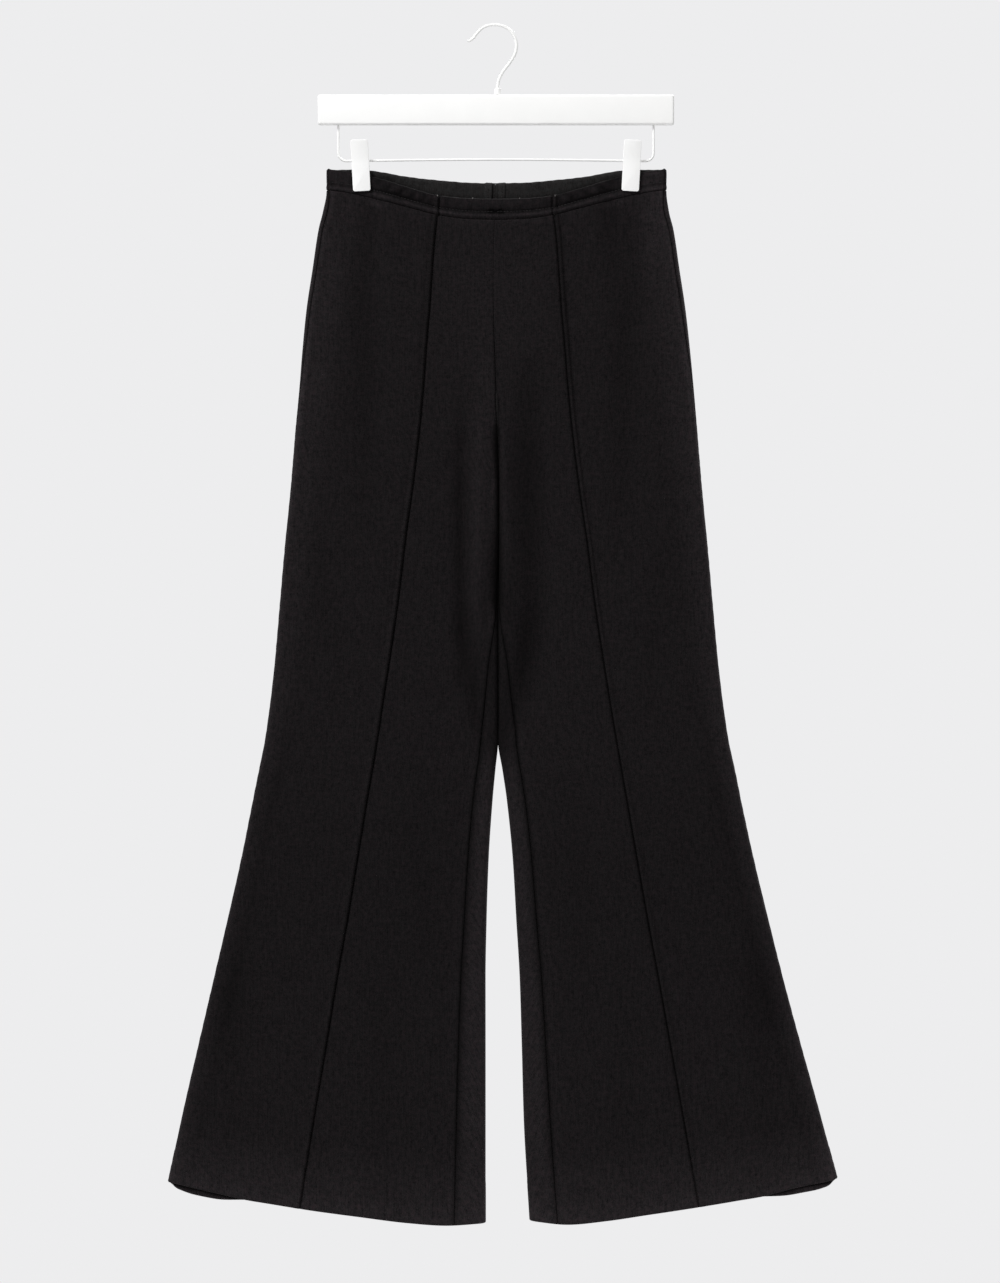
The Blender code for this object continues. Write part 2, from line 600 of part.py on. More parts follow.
def build_rail(steel):
    """The rail's wire: out of the bar, round a bend, slightly bowed along the bottom, and up again."""
    top = -BAR_TOP_DROP - BAR_HEIGHT + RAIL_INSET
    route = [(RAIL_LEFT_X, 0, top)]
    middle = (RAIL_LEFT_X + RAIL_RIGHT_X) / 2
    half = (RAIL_RIGHT_X - RAIL_LEFT_X) / 2
    for step in range(RAIL_BEND_STEPS + 1):
        angle = math.pi / 2 * step / RAIL_BEND_STEPS
        x = RAIL_LEFT_X + RAIL_BEND * (1 - math.cos(angle))
        route.append((x, 0, -RAIL_DROP + RAIL_BEND * (1 - math.sin(angle))))
    run = half - RAIL_BEND
    for step in range(1, RAIL_RUN_STEPS):
        share = step / RAIL_RUN_STEPS
        rise = RAIL_BOW * math.sin(math.pi * share)
        route.append((middle - run + 2 * run * share, 0, -RAIL_DROP + rise))
    route += [(2 * middle - x, 0, z) for x, _, z in reversed(route[: RAIL_BEND_STEPS + 2])]
    wire("hanger_rail", route, RAIL_WIRE, steel)


def extrude_profile(profile, width):
    """A closed outline of (y, z) points in mm, made as wide as asked along X."""
    shape = bmesh.new()
    ring = [shape.verts.new((-width / 2 * MM, y * MM, z * MM)) for y, z in profile]
    face = shape.faces.new(ring)
    moved = bmesh.ops.extrude_face_region(shape, geom=[face])
    ends = [item for item in moved["geom"] if isinstance(item, bmesh.types.BMVert)]
    bmesh.ops.translate(shape, vec=(width * MM, 0, 0), verts=ends)
    bmesh.ops.recalc_face_normals(shape, faces=shape.faces)
    return shape


def jaw_profile(facing):
    """Side view of one jaw: plate, splayed grip above the rail, and the half boss that rides on the wire."""
    bottom, top = CLIP_GRIP - CLIP_HEIGHT, CLIP_GRIP
    half_boss = BOSS_HEIGHT / 2
    start = math.asin(SEAM_GAP / 2 / BOSS_BORE)
    arc = [
        (BOSS_BORE * math.sin(angle), -BOSS_BORE * math.cos(angle))
        for angle in np.linspace(start, math.pi - start, BOSS_BORE_STEPS)
    ]
    outline = [
        (JAW_INNER, bottom),
        (JAW_INNER, -half_boss),
        (SEAM_GAP / 2, -half_boss),
        *arc,
        (SEAM_GAP / 2, half_boss),
        (JAW_INNER + GRIP_STEP, half_boss),
        (JAW_INNER + GRIP_SPLAY, top),
        (JAW_INNER + GRIP_SPLAY + JAW_PLATE, top),
        (JAW_INNER + JAW_PLATE + GRIP_STEP, half_boss),
        (JAW_INNER + JAW_PLATE, -half_boss),
        (JAW_INNER + JAW_TIP_PLATE, bottom),
    ]
    return [(facing * y, z) for y, z in outline]


def spring_profile():
    """Side view of the leaf spring: a U that stands on the bosses and pushes the two grips apart."""
    foot = BOSS_HEIGHT / 2 + SEAM_GAP
    strip = SPRING_STRIP
    outer = [
        (-SPRING_TOP_HALF, foot + SPRING_REACH),
        (-SPRING_BEND_HALF, foot + SPRING_BEND_RISE),
        (-SPRING_BOTTOM_HALF, foot + strip / 2),
        (0, foot),
    ]
    inner = [
        (-SPRING_TOP_HALF + strip, foot + SPRING_REACH),
        (-SPRING_BEND_HALF + strip, foot + SPRING_BEND_RISE + strip / 2),
        (-SPRING_BOTTOM_HALF + strip / 2, foot + strip * 1.4),
        (0, foot + strip),
    ]
    outer += [(-y, z) for y, z in reversed(outer[:-1])]
    inner += [(-y, z) for y, z in reversed(inner[:-1])]
    return outer + inner[::-1]


def round_corners(shape):
    """Rounds the plate's four corners as seen from the front: its top and bottom edges that run front to back."""
    heights = [corner.co.z for corner in shape.verts]
    near = 0.01 * MM
    corners = []
    for edge in shape.edges:
        a, b = (corner.co for corner in edge.verts)
        runs_back = abs(a.x - b.x) < near and abs(a.z - b.z) < near
        if runs_back and (a.z < min(heights) + near or a.z > max(heights) - near):
            corners.append(edge)
    bmesh.ops.bevel(shape, geom=corners, offset=CLIP_CORNER * MM, segments=4, profile=0.5, affect="EDGES")


def build_clip(side, x, plastic, steel):
    lean = SIGN[side] * CLIP_LEAN
    placed = Matrix.Translation(Vector((x, 0, -RAIL_DROP + CLIP_RISE)) * MM) @ Matrix.Rotation(lean, 4, "Y")
    pieces = [
        (f"clip_{side}_front", jaw_profile(-1), CLIP_WIDTH, plastic, True),
        (f"clip_{side}_back", jaw_profile(1), CLIP_WIDTH, plastic, True),
        (f"clip_{side}_spring", spring_profile(), SPRING_WIDTH, steel, False),
    ]
    for name, profile, width, material, rounded in pieces:
        shape = extrude_profile(profile, width)
        if rounded:
            round_corners(shape)
        bmesh.ops.recalc_face_normals(shape, faces=shape.faces)
        mesh = bpy.data.meshes.new(name)
        shape.to_mesh(mesh)
        shape.free()
        mesh.materials.append(material)
        thing = bpy.data.objects.new(name, mesh)
        thing.matrix_world = placed
        bpy.context.scene.collection.objects.link(thing)


def main():
    for thing in list(bpy.data.objects):
        bpy.data.objects.remove(thing)
    cloth = paint("black crepe knit", (0.012, 0.011, 0.011), 0.9)
    lacquer = paint("white lacquered wood", (0.86, 0.86, 0.85), 0.35)
    plastic = paint("white moulded plastic", (0.84, 0.84, 0.83), 0.4)
    enamel = paint("white enamelled wire", (0.84, 0.84, 0.83), 0.3)
    spring_steel = paint("spring steel", (0.55, 0.55, 0.56), 0.3, 1.0)
    for side in ("left", "right"):
        build_front(side, cloth)
        build_back(side, cloth)
        build_back_band(side, cloth)
    build_front_band(cloth)
    build_bar(lacquer)
    build_hook(enamel)
    build_collar(enamel)
    build_rail(enamel)
    build_clip("left", CLIP_LEFT_X, plastic, spring_steel)
    build_clip("right", CLIP_RIGHT_X, plastic, spring_steel)


main()
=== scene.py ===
"""Kick flare trousers in black crepe knit, hung by the waistband from a white clip hanger.

The front of the garment faces -Y and +X is to the right, with left and right as seen from the front. The
cloth is worked out in millimetres, as it is cut and sewn, and turned to metres when a piece is made.
"""

import math
from collections import namedtuple

import bmesh
import bpy
import numpy as np
from mathutils import Matrix, Vector


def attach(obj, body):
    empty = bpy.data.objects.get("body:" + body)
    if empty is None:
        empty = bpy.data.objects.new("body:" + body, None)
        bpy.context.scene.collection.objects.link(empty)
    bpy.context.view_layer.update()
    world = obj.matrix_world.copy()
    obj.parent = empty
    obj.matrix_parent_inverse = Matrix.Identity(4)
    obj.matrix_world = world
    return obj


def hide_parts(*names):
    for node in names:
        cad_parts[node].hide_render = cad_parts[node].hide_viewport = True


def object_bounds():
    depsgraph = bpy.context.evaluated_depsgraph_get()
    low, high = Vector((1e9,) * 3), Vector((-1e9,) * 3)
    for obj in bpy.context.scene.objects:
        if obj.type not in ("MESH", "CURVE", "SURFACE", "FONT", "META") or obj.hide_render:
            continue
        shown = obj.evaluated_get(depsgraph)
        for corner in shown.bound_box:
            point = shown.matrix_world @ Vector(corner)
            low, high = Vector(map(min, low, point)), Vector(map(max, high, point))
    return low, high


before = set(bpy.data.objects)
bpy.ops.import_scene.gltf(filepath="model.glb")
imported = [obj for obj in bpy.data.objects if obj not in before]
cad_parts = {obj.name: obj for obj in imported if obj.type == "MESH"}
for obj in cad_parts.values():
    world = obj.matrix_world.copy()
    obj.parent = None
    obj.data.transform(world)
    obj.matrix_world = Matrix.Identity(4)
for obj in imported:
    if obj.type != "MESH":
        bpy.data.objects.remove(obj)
solid_low, solid_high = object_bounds()

# ---------- Camera ----------
# A long lens, level and square to the front, as for a shop picture of a garment. What it sees at the cloth
# is 1.0 m wide and 1.283 m high.
MM = 0.001
VIEW_HEIGHT = 1.283
CAMERA_AWAY = 5.6
VIEW_MIDDLE = Vector((0.0055, 0.0, -0.6154))
camera_data = bpy.data.cameras.new("shop_camera")
camera_data.lens = camera_data.sensor_width * CAMERA_AWAY / VIEW_HEIGHT
camera = bpy.data.objects.new("shop_camera", camera_data)
camera.location = VIEW_MIDDLE - Vector((0, CAMERA_AWAY, 0))
camera.rotation_euler = (math.pi / 2, 0, 0)
bpy.context.scene.collection.objects.link(camera)
bpy.context.scene.camera = camera

# ---------- Studio ----------
# A pale room, four soft boxes and a matte pale floor, as far below the hems as when the trousers hang on a
# rail. The main light is high on the left, so seams and folds throw small shadows. Nothing is tone mapped,
# so white and black both keep their tone.
ROOM = "ededee"
FLOOR = "e6e6e7"
FLOOR_CLEAR = 0.42
FLOOR_RADIUS = 2.6
FIBRE_MM = 1.11  # paper's fibres are finer, and drawn coarse
ROOM_LIGHT = 0.30
bpy.context.scene.view_settings.view_transform = "Standard"


def linear(colour):
    """An sRGB colour of six hex digits as linear red, green, blue and alpha."""
    parts = [int(colour[k:k + 2], 16) / 255 for k in (0, 2, 4)]
    return (*[p / 12.92 if p <= 0.04045 else ((p + 0.055) / 1.055) ** 2.4 for p in parts], 1.0)


def add(tree, kind, sockets=None, links=None, **settings):
    """A new shader node with its settings, its sockets' values, and links from other nodes' outputs."""
    made = tree.nodes.new("ShaderNode" + kind)
    for name, value in settings.items():
        setattr(made, name, value)
    for name, value in (sockets or {}).items():
        made.inputs[name].default_value = value
    for name, output in (links or {}).items():
        tree.links.new(output, made.inputs[name])
    return made


def place(name, data):
    """A new object for a mesh or a light, at the origin of the frame."""
    thing = bpy.data.objects.new(name, data)
    bpy.context.scene.collection.objects.link(thing)
    return thing


def start_material(name):
    """A new material, its node tree and its shader."""
    material = bpy.data.materials.new(name)
    material.use_nodes = True
    return material, material.node_tree, material.node_tree.nodes["Principled BSDF"]


def finish_mesh(name, shape, material=None):
    """A mesh with what was built in the shape, which is freed."""
    mesh = bpy.data.meshes.new(name)
    shape.to_mesh(mesh)
    shape.free()
    if material:
        mesh.materials.append(material)
    return mesh


room = bpy.data.worlds.new("pale_room")
bpy.context.scene.world = room
room.use_nodes = True
tree = room.node_tree
tree.nodes.clear()
seen = add(tree, "Background", {"Color": linear(ROOM)})
lighting = add(tree, "Background", {"Color": linear("ffffff"), "Strength": ROOM_LIGHT})
path = add(tree, "LightPath")
both = add(
    tree, "MixShader", {},
    {0: path.outputs["Is Camera Ray"], 1: lighting.outputs[0], 2: seen.outputs[0]},
)
add(tree, "OutputWorld", {}, {"Surface": both.outputs[0]})

SoftBox = namedtuple("SoftBox", "name x y z width height watts")
SOFT_BOXES = [
    SoftBox("key_box", -2.2, -2.3, 2.7, 1.1, 1.1, 188),
    SoftBox("fill_box", 2.7, -3.2, 0.3, 1.8, 1.8, 22),
    SoftBox("back_key_box", 2.2, 2.3, 2.7, 1.1, 1.1, 185),
    SoftBox("back_fill_box", -2.8, 2.8, 0.2, 1.8, 1.8, 24),
]
for box in SOFT_BOXES:
    light = bpy.data.lights.new(box.name, "AREA")
    light.shape = "RECTANGLE"
    light.size, light.size_y = box.width, box.height
    light.energy = box.watts
    lamp = place(box.name, light)
    lamp.location = (box.x, box.y, box.z)
    lamp.rotation_euler = (VIEW_MIDDLE - lamp.location).to_track_quat("-Z", "Y").to_euler()

floor_paper, tree, paper = start_material("floor_paper")
paper.inputs["Roughness"].default_value = 0.95
paper.inputs["Specular IOR Level"].default_value = 0.1
spot = add(tree, "TexCoord")
fibres = add(
    tree, "TexNoise", {"Scale": 1 / (FIBRE_MM * MM), "Detail": 3.0}, {"Vector": spot.outputs["Object"]},
)
tint = add(
    tree, "MixRGB", {"Color1": linear(FLOOR), "Color2": linear("ebebeb")}, {"Fac": fibres.outputs["Fac"]},
)
tree.links.new(tint.outputs["Color"], paper.inputs["Base Color"])
away = add(tree, "VectorMath", {}, {0: spot.outputs["Object"]}, operation="LENGTH")
fade = add(
    tree, "MapRange",
    {"From Min": 0.45 * FLOOR_RADIUS, "From Max": 0.97 * FLOOR_RADIUS, "To Min": 1.0, "To Max": 0.0},
    {"Value": away.outputs["Value"]}, interpolation_type="SMOOTHSTEP",
)
tree.links.new(fade.outputs["Result"], paper.inputs["Alpha"])
shape = bmesh.new()
bmesh.ops.create_circle(shape, cap_ends=True, segments=96, radius=FLOOR_RADIUS)
floor = place("floor", finish_mesh("floor", shape, floor_paper))
floor.location = (0, 0, solid_low.z - FLOOR_CLEAR)

# ---------- Cloth ----------
# Ponte crepe: a firm double knit of polyester and viscose with elastane, piece dyed black. Its high twist
# yarn gives a dry, matte, grainy face with a faint warm cast, and only grazing light lifts it a little.
FACE_BLACK, FACE_GRAIN, FACE_RUSSET = "080708", "1b191a", "201a1c"
REVERSE_BLACK, REVERSE_GRAIN, REVERSE_GREY = "121111", "2c2a2a", "272929"
# The crepe's real pebbles are 0.5 mm wide and its ribs stand 0.6 mm apart, too fine to show. Both are drawn
# almost three times as large.
PEBBLE_MM = 1.5
GRAIN_MM = 3.2
WALE_MM = 1.7
SLUB_WIDE_MM, SLUB_LONG_MM = 2.4, 15.0
MOTTLE_MM = 27.0
DYE_MM = 4.5
GRAIN_SHARE, WALE_SHARE, SLUB_SHARE, MOTTLE_SHARE = 0.42, 0.10, 0.24, 0.08
RELIEF_MM = 0.35


def wave_scale(period_mm):
    """A wave texture's scale for one band in each period, where the coordinates are in metres."""
    return math.pi / 10 / (period_mm * MM)


def crepe_knit(name, dark, light, tint, sheen):
    """The knit's look on coordinates that are metres of cloth, x across it and y down it. The mesh's tone
    paints shade into the pressed seams and hollows and paints light on the doubled hem and folded edges, as
    a share of the colour."""
    material, tree, shader = start_material(name)
    spot = add(tree, "UVMap", uv_map="cloth")
    vector = {"Vector": spot.outputs["UV"]}
    pebbles = add(
        tree, "TexNoise", {"Scale": 1 / (PEBBLE_MM * MM), "Detail": 3.0, "Roughness": 0.7}, vector,
    )
    grain = add(tree, "TexNoise", {"Scale": 1 / (GRAIN_MM * MM), "Detail": 3.0, "Roughness": 0.6}, vector)
    wales = add(
        tree, "TexWave",
        {"Scale": wave_scale(WALE_MM), "Distortion": 5.0, "Detail": 3.0, "Detail Scale": 2.0}, vector,
        wave_type="BANDS", bands_direction="X",
    )
    stretched = add(
        tree, "VectorMath", {1: (1 / (SLUB_WIDE_MM * MM), 1 / (SLUB_LONG_MM * MM), 1.0)},
        {0: spot.outputs["UV"]}, operation="MULTIPLY",
    )
    slubs = add(tree, "TexNoise", {"Scale": 1.0, "Detail": 2.0}, {"Vector": stretched.outputs["Vector"]})
    mottle = add(tree, "TexNoise", {"Scale": 1 / (MOTTLE_MM * MM), "Detail": 5.0, "Roughness": 0.6}, vector)
    layers = [pebbles.outputs["Fac"]]
    shares = ((grain, GRAIN_SHARE), (wales, WALE_SHARE), (slubs, SLUB_SHARE), (mottle, MOTTLE_SHARE))
    for pattern, share in shares:
        over = {"A": layers[-1], "B": pattern.outputs["Fac"]}
        layers.append(add(tree, "Mix", {"Factor": share}, over, data_type="FLOAT").outputs[0])
    _, _, ribbed, _, mottled = layers
    shade = add(tree, "ValToRGB", {}, {"Fac": mottled})
    shade.color_ramp.elements[0].position = 0.38
    shade.color_ramp.elements[0].color = linear(dark)
    shade.color_ramp.elements[1].position = 0.62
    shade.color_ramp.elements[1].color = linear(light)
    dye = add(tree, "TexNoise", {"Scale": 1 / (DYE_MM * MM), "Detail": 3.0, "Roughness": 0.7}, vector)
    warm = add(
        tree, "MapRange", {"From Min": 0.45, "From Max": 0.7, "To Min": 0.0, "To Max": 0.6},
        {"Value": dye.outputs["Fac"]},
    )
    dyed = add(
        tree, "MixRGB", {"Color2": linear(tint)},
        {"Fac": warm.outputs["Result"], "Color1": shade.outputs["Color"]},
    )
    # The mesh's tone is painted light and shade, multiplied into the colour.
    tone = add(tree, "Attribute", attribute_name="tone")
    gain = add(tree, "Math", {0: 1.0}, {1: tone.outputs["Fac"]}, operation="ADD", use_clamp=False)
    toned = add(
        tree, "VectorMath", {}, {0: dyed.outputs["Color"], "Scale": gain.outputs[0]}, operation="SCALE",
    )
    tree.links.new(toned.outputs["Vector"], shader.inputs["Base Color"])
    dry = add(tree, "MapRange", {"To Min": 0.84, "To Max": 1.0}, {"Value": grain.outputs["Fac"]})
    tree.links.new(dry.outputs["Result"], shader.inputs["Roughness"])
    shader.inputs["Specular IOR Level"].default_value = 0.06
    shader.inputs["Sheen Weight"].default_value = sheen
    shader.inputs["Sheen Roughness"].default_value = 0.45
    shader.inputs["Sheen Tint"].default_value = linear("9b9496")
    relief = add(tree, "Bump", {"Strength": 0.7, "Distance": RELIEF_MM * MM}, {"Height": ribbed})
    tree.links.new(relief.outputs["Normal"], shader.inputs["Normal"])
    return material


knit_face = crepe_knit("crepe_knit_face", FACE_BLACK, FACE_GRAIN, FACE_RUSSET, 0.05)
knit_reverse = crepe_knit("crepe_knit_reverse", REVERSE_BLACK, REVERSE_GRAIN, REVERSE_GREY, 0.06)

# ---------- Front panels ----------
# Two fronts, cut in crepe knit, joined by the rise seam, with a pin tuck stitched down each from the waist
# to the hem. They hang nearly flat, held under the clips, and each leg flares from the knee.
WAIST_DROP = 143.5  # from the hook's throat down to the waist edge at the side seams, which is level 0
GARMENT_X = 1.5  # the garment hangs this far to the right of the hook's throat
BAND_HEIGHT = 20.4
HEM_DOWN, HEM_DEPTH, HEM_ROLL = 1010.4, 32.0, 1.35
CLOTH_THICK = 1.2
SEAM_GAP, SEAM_ROLL, SEAM_TURN = 0.3, 1.25, 1.3
LEG_TOUCH = 0.5
SPLIT_TOP, CROTCH_DOWN, RISE_CURVE = 215.0, 310.0, 0.75
LEG_SHAPE_TOP, LEG_SHAPE_BOTTOM = 190.0, 440.0  # between these the torso's section turns into the legs'
FOLD_ROUND = 0.6
FORK_DOWN, FORK_REACH, FORK_OPEN = 392.0, 34.0, 1.2  # the front's inner folds are rounder at the fork
WAIST_DIP_BOTTOM, HEM_DIP_TOP, HEM_DIP_GROWTH = 240.0, 800.0, 1.4
PINCH_X, PINCH_DEPTH = (-134.5, 135.0), 2.85  # the clips press both layers to this far from the middle
PINCH_FLAT, PINCH_REACH, PINCH_TOP, PINCH_BOTTOM = 10.0, 34.0, 22.0, 132.0
SWAY, SWAY_FULL = 0.42, 800.0  # the height of the long waves, and the level where they are full
SWAY_WAVES = (21.0, 150.0, 34.0, 210.0)  # two waves' lengths across and down, over 2 pi
NEAR_SEAM, NEAR_FOLD, NEAR_WRAP = 16.0, 18.0, 20.0  # beside these the mesh is closer
PATH_STEPS = 400
SIGN = {"left": -1, "right": 1}

# Each row is a level, mm below the waist edge at the side seams: the x of each half's inner and outer edge,
# and the half thickness in the middle of the front, of the back, and by the folds.
Level = namedtuple("Level", "down left_out left_in right_in right_out front back fold")
LEVELS = [Level(*row) for row in (
    (0, -169.5, -0.5, -0.5, 170.5, 11, 9, 5),
    (22, -169.5, -1.5, -1.5, 170.5, 12, 10, 5.5),
    (42, -173.0, -2.2, -2.2, 173.0, 13, 12, 6.5),
    (60, -177.5, -2.7, -2.7, 177.5, 14, 14, 8),
    (100, -183.5, -2.8, -2.8, 183.5, 16, 17, 10),
    (140, -189.5, -2.3, -2.3, 189.5, 17, 20, 11),
    (180, -193.5, -1.1, -1.1, 194.0, 18, 22, 11),
    (220, -196.7, 0.0, 0.0, 197.8, 18, 23, 11),
    (260, -200.5, 1.6, 1.6, 201.2, 18, 23, 11),
    (320, -205.5, 2.5, 2.5, 206.2, 17, 21, 10),
    (380, -211.5, 2.5, 2.5, 212.0, 16, 19, 10),
    (440, -216.7, 1.8, 1.8, 217.3, 15, 17, 9.5),
    (500, -222.0, 2.0, 2.0, 223.0, 15, 16, 9),
    (570, -231.0, 2.0, 2.0, 232.5, 14, 15, 9),
    (600, -237.0, -0.8, 6.6, 239.0, 14, 15, 9),
    (630, -243.0, -3.6, 11.0, 245.0, 14, 15, 9),
    (690, -255.0, -7.6, 17.0, 258.0, 14, 15, 9),
    (750, -268.5, -9.6, 20.5, 272.5, 14, 15, 9),
    (810, -282.5, -10.6, 24.0, 287.5, 14, 15, 9),
    (870, -296.5, -10.6, 26.0, 303.5, 14, 15, 9),
    (930, -310.5, -10.6, 28.0, 320.0, 14, 15, 9),
    (1010.4, -328.0, -10.6, 34.0, 341.5, 15, 15, 9),
)]

# Lines on the cloth: the tucks' x, the side seam's mm in front of the side fold, and the inseams' mm from
# the inner fold round towards the front.
Line = namedtuple("Line", "down left_tuck right_tuck side_seam left_inseam right_inseam")
LINES = [Line(*row) for row in (
    (0, -58.6, 58.4, 5.0, 0, 0),
    (20, -59.0, 58.6, 6.2, 0, 0),
    (40, -60.9, 60.5, 9.2, 0, 0),
    (55, -62.2, 61.8, 9.8, 0, 0),
    (90, -64.4, 63.9, 10.9, 0, 0),
    (120, -66.0, 65.6, 11.5, 0, 0),
    (160, -68.9, 68.5, 11.0, 0, 0),
    (225, -73.2, 73.2, 6.0, 0, 0),
    (310, -82.4, 82.7, 0, 0, 0),
    (370, -90.6, 91.3, 0, 3, 2),
    (430, -97.8, 98.9, 0, 6.5, 6),
    (490, -106.6, 107.8, 0, 15.5, 16),
    (530, -112.8, 114.2, 0, 20, 20.5),
    (570, -118.8, 120.9, 0, 23.2, 24.5),
    (630, -129.0, 131.3, 0, 26, 25.5),
    (690, -138.8, 141.7, 0, 27.2, 26),
    (750, -148.7, 152.3, 0, 28.8, 27),
    (810, -159.4, 163.4, 0, 31.2, 28.5),
    (870, -170.0, 175.0, 0, 33.6, 30.5),
    (930, -181.5, 187.0, 0, 35.4, 32.8),
    (1010.4, -196.4, 203.2, 0, 37.5, 34),
)]

# How far the waist edge and the band's seam hang below the side seams, by share of the way from centre to
# side.
WaistDip = namedtuple("WaistDip", "share front_top front_seam back")
WAIST_DIPS = [WaistDip(*row) for row in (
    (0.00, 30.0, 30.4, 13.1),
    (0.16, 29.4, 29.5, 12.4),
    (0.35, 26.1, 25.1, 9.8),
    (0.46, 21.1, 20.3, 7.9),
    (0.56, 16.0, 15.8, 5.6),
    (0.66, 10.6, 11.2, 2.6),
    (0.76, 5.8, 6.6, 0.6),
    (0.88, 2.0, 2.5, 0.0),
    (1.00, 0.0, 0.0, 0.0),
)]

# How far the hem hangs below its level at the side seams, by share of the way from the side fold to the
# inner fold.
HemDip = namedtuple("HemDip", "share left right back_lower")
HEM_DIPS = [HemDip(*row) for row in (
    (0.00, 1.5, -2.0, 0.8),
    (0.03, 3.4, 0.6, 6.6),
    (0.08, 7.2, 3.4, 8.6),
    (0.14, 11.6, 7.4, 8.2),
    (0.24, 18.8, 15.4, 2.4),
    (0.32, 23.0, 19.5, -0.8),
    (0.45, 29.5, 26.2, -2.0),
    (0.60, 36.0, 33.4, -2.0),
    (0.75, 42.3, 40.3, -2.0),
    (0.88, 45.1, 44.1, -1.2),
    (1.00, 42.9, 40.6, 0.0),
)]

# Hollows (+) and ridges (-), each along a line between two levels. The first ten in front and the first
# eight behind are the large ones that the solid has too. The rest are smaller drag lines and the marks of
# wear and folding.
Fold = namedtuple("Fold", "top_x top_down bottom_x bottom_down half_width depth")
FRONT_FOLDS = [Fold(*row) for row in (
    (-33, 225, -32, 530, 7.5, 5.0),
    (-15, 235, -19, 510, 9, -4.2),
    (36, 180, 39, 540, 16, 8.0),
    (9, 235, 11, 480, 7, -2.0),
    (-129, -60, -124, 400, 16, 3.8),
    (137, -60, 130, 400, 16, 3.4),
    (-262, 750, -266, 920, 20, 2.8),
    (268, 750, 272, 920, 20, 2.8),
    (-32, 430, -10, 590, 9, 5.4),
    (40, 430, 16, 590, 12, 5.4),
    (-110, 20, -96, 96, 6, 0.9),
    (-98, 22, -80, 84, 5, 0.8),
    (112, 20, 97, 104, 6, 0.8),
    (100, 21, 83, 76, 5, 0.7),
    (-156, 22, -168, 120, 6, 0.8),
    (157, 22, 170, 128, 6, 0.8),
    (-20, 262, -66, 318, 7, 1.0),
    (-12, 284, -48, 352, 6, 0.8),
    (20, 266, 62, 326, 7, 0.9),
    (11, 290, 44, 345, 6, 0.8),
    (-176, 330, -150, 560, 15, 1.5),
    (172, 350, 152, 590, 15, 1.5),
    (-70, 560, -62, 860, 16, 1.5),
    (84, 600, 92, 905, 17, 1.5),
    (-215, 560, -238, 700, 13, 1.2),
    (220, 590, 240, 730, 13, 1.2),
    (-110, 760, -104, 1060, 20, 1.7),
    (128, 770, 140, 1060, 20, 1.7),
    (-250, 850, -276, 1050, 16, 1.4),
    (262, 870, 290, 1050, 15, 1.4),
)]
BACK_FOLDS = [Fold(*row) for row in (
    (-28, 270, -34, 560, 13, 4.2),
    (30, 280, 38, 545, 14, 3.9),
    (-62, 240, -128, 400, 18, 4.0),
    (66, 250, 122, 390, 17, 3.5),
    (-134, -60, -150, 330, 20, 4.6),
    (136, -60, 148, 360, 19, 4.2),
    (-150, 620, -176, 960, 26, 3.2),
    (168, 660, 184, 940, 24, 3.0),
    (-40, 24, -52, 150, 9, 1.4),
    (44, 24, 50, 170, 9, 1.2),
    (-92, 24, -110, 190, 10, 1.4),
    (96, 24, 108, 160, 9, 1.2),
    (-14, 262, -58, 330, 7, 1.4),
    (15, 268, 64, 322, 7, 1.4),
    (-24, 290, -88, 372, 8, 1.2),
    (26, 296, 82, 360, 8, 1.0),
    (-182, 300, -196, 520, 14, 1.5),
    (186, 320, 194, 560, 14, 1.5),
    (-96, 540, -70, 850, 18, 1.7),
    (102, 560, 88, 880, 18, 1.7),
    (-236, 700, -268, 1040, 18, 1.9),
    (246, 720, 282, 1040, 18, 1.9),
    (-60, 800, -52, 1060, 18, 1.5),
    (76, 820, 84, 1060, 18, 1.5),
)]
FOLDS = {"front": FRONT_FOLDS, "back": BACK_FOLDS}

# The pin tuck in section: mm towards the side seam from its stitched line, and how far the cloth stands out
# there, in the upper leg, where the pleat is narrow, and in the lower leg, where it lies over.
TuckPoint = namedtuple("TuckPoint", "across upper lower")
TUCK = [TuckPoint(*row) for row in (
    (-4.5, 0.0, 0.0),
    (-3.2, -0.08, -0.1),
    (-2.3, -0.28, -0.4),
    (-1.6, -0.7, -0.9),
    (-1.0, -1.35, -1.55),
    (-0.5, -1.8, -2.0),
    (0.0, -1.9, -2.1),
    (0.3, -1.5, -1.7),
    (0.6, -0.1, -0.1),
    (0.9, 0.85, 0.85),
    (1.4, 1.35, 1.35),
    (2.0, 1.5, 1.5),
    (2.7, 1.3, 1.45),
    (3.4, 0.7, 1.15),
    (4.2, -0.15, 0.8),
    (5.2, -0.5, 0.4),
    (6.5, -0.2, 0.1),
    (8.5, 0.0, 0.0),
)]
TUCK_TURN_TOP, TUCK_TURN_BOTTOM = 430.0, 480.0
ROLL_STEPS = (0.0, 0.1, 0.3, 0.6, 1.0)  # shares of the seam's roll


def smooth(rows, name, at):
    """A table's named column at one or more places, on a smooth curve that never overshoots its rows."""
    knots = np.array([row[0] for row in rows], float)
    values = np.array([getattr(row, name) for row in rows], float)
    climbs = np.diff(values) / np.diff(knots)
    before, after = climbs[:-1], climbs[1:]
    together = before * after > 0
    slopes = np.concatenate([climbs[:1], np.zeros(len(before)), climbs[-1:]])
    slopes[1:-1][together] = 2 * before[together] * after[together] / (before + after)[together]
    at = np.clip(at, knots[0], knots[-1])
    low = np.clip(np.searchsorted(knots, at, side="right") - 1, 0, len(knots) - 2)
    step = knots[low + 1] - knots[low]
    t = (at - knots[low]) / step
    return (
        values[low] * (1 + 2 * t) * (1 - t) ** 2
        + slopes[low] * step * t * (1 - t) ** 2
        + values[low + 1] * t**2 * (3 - 2 * t)
        + slopes[low + 1] * step * t**2 * (t - 1)
    )


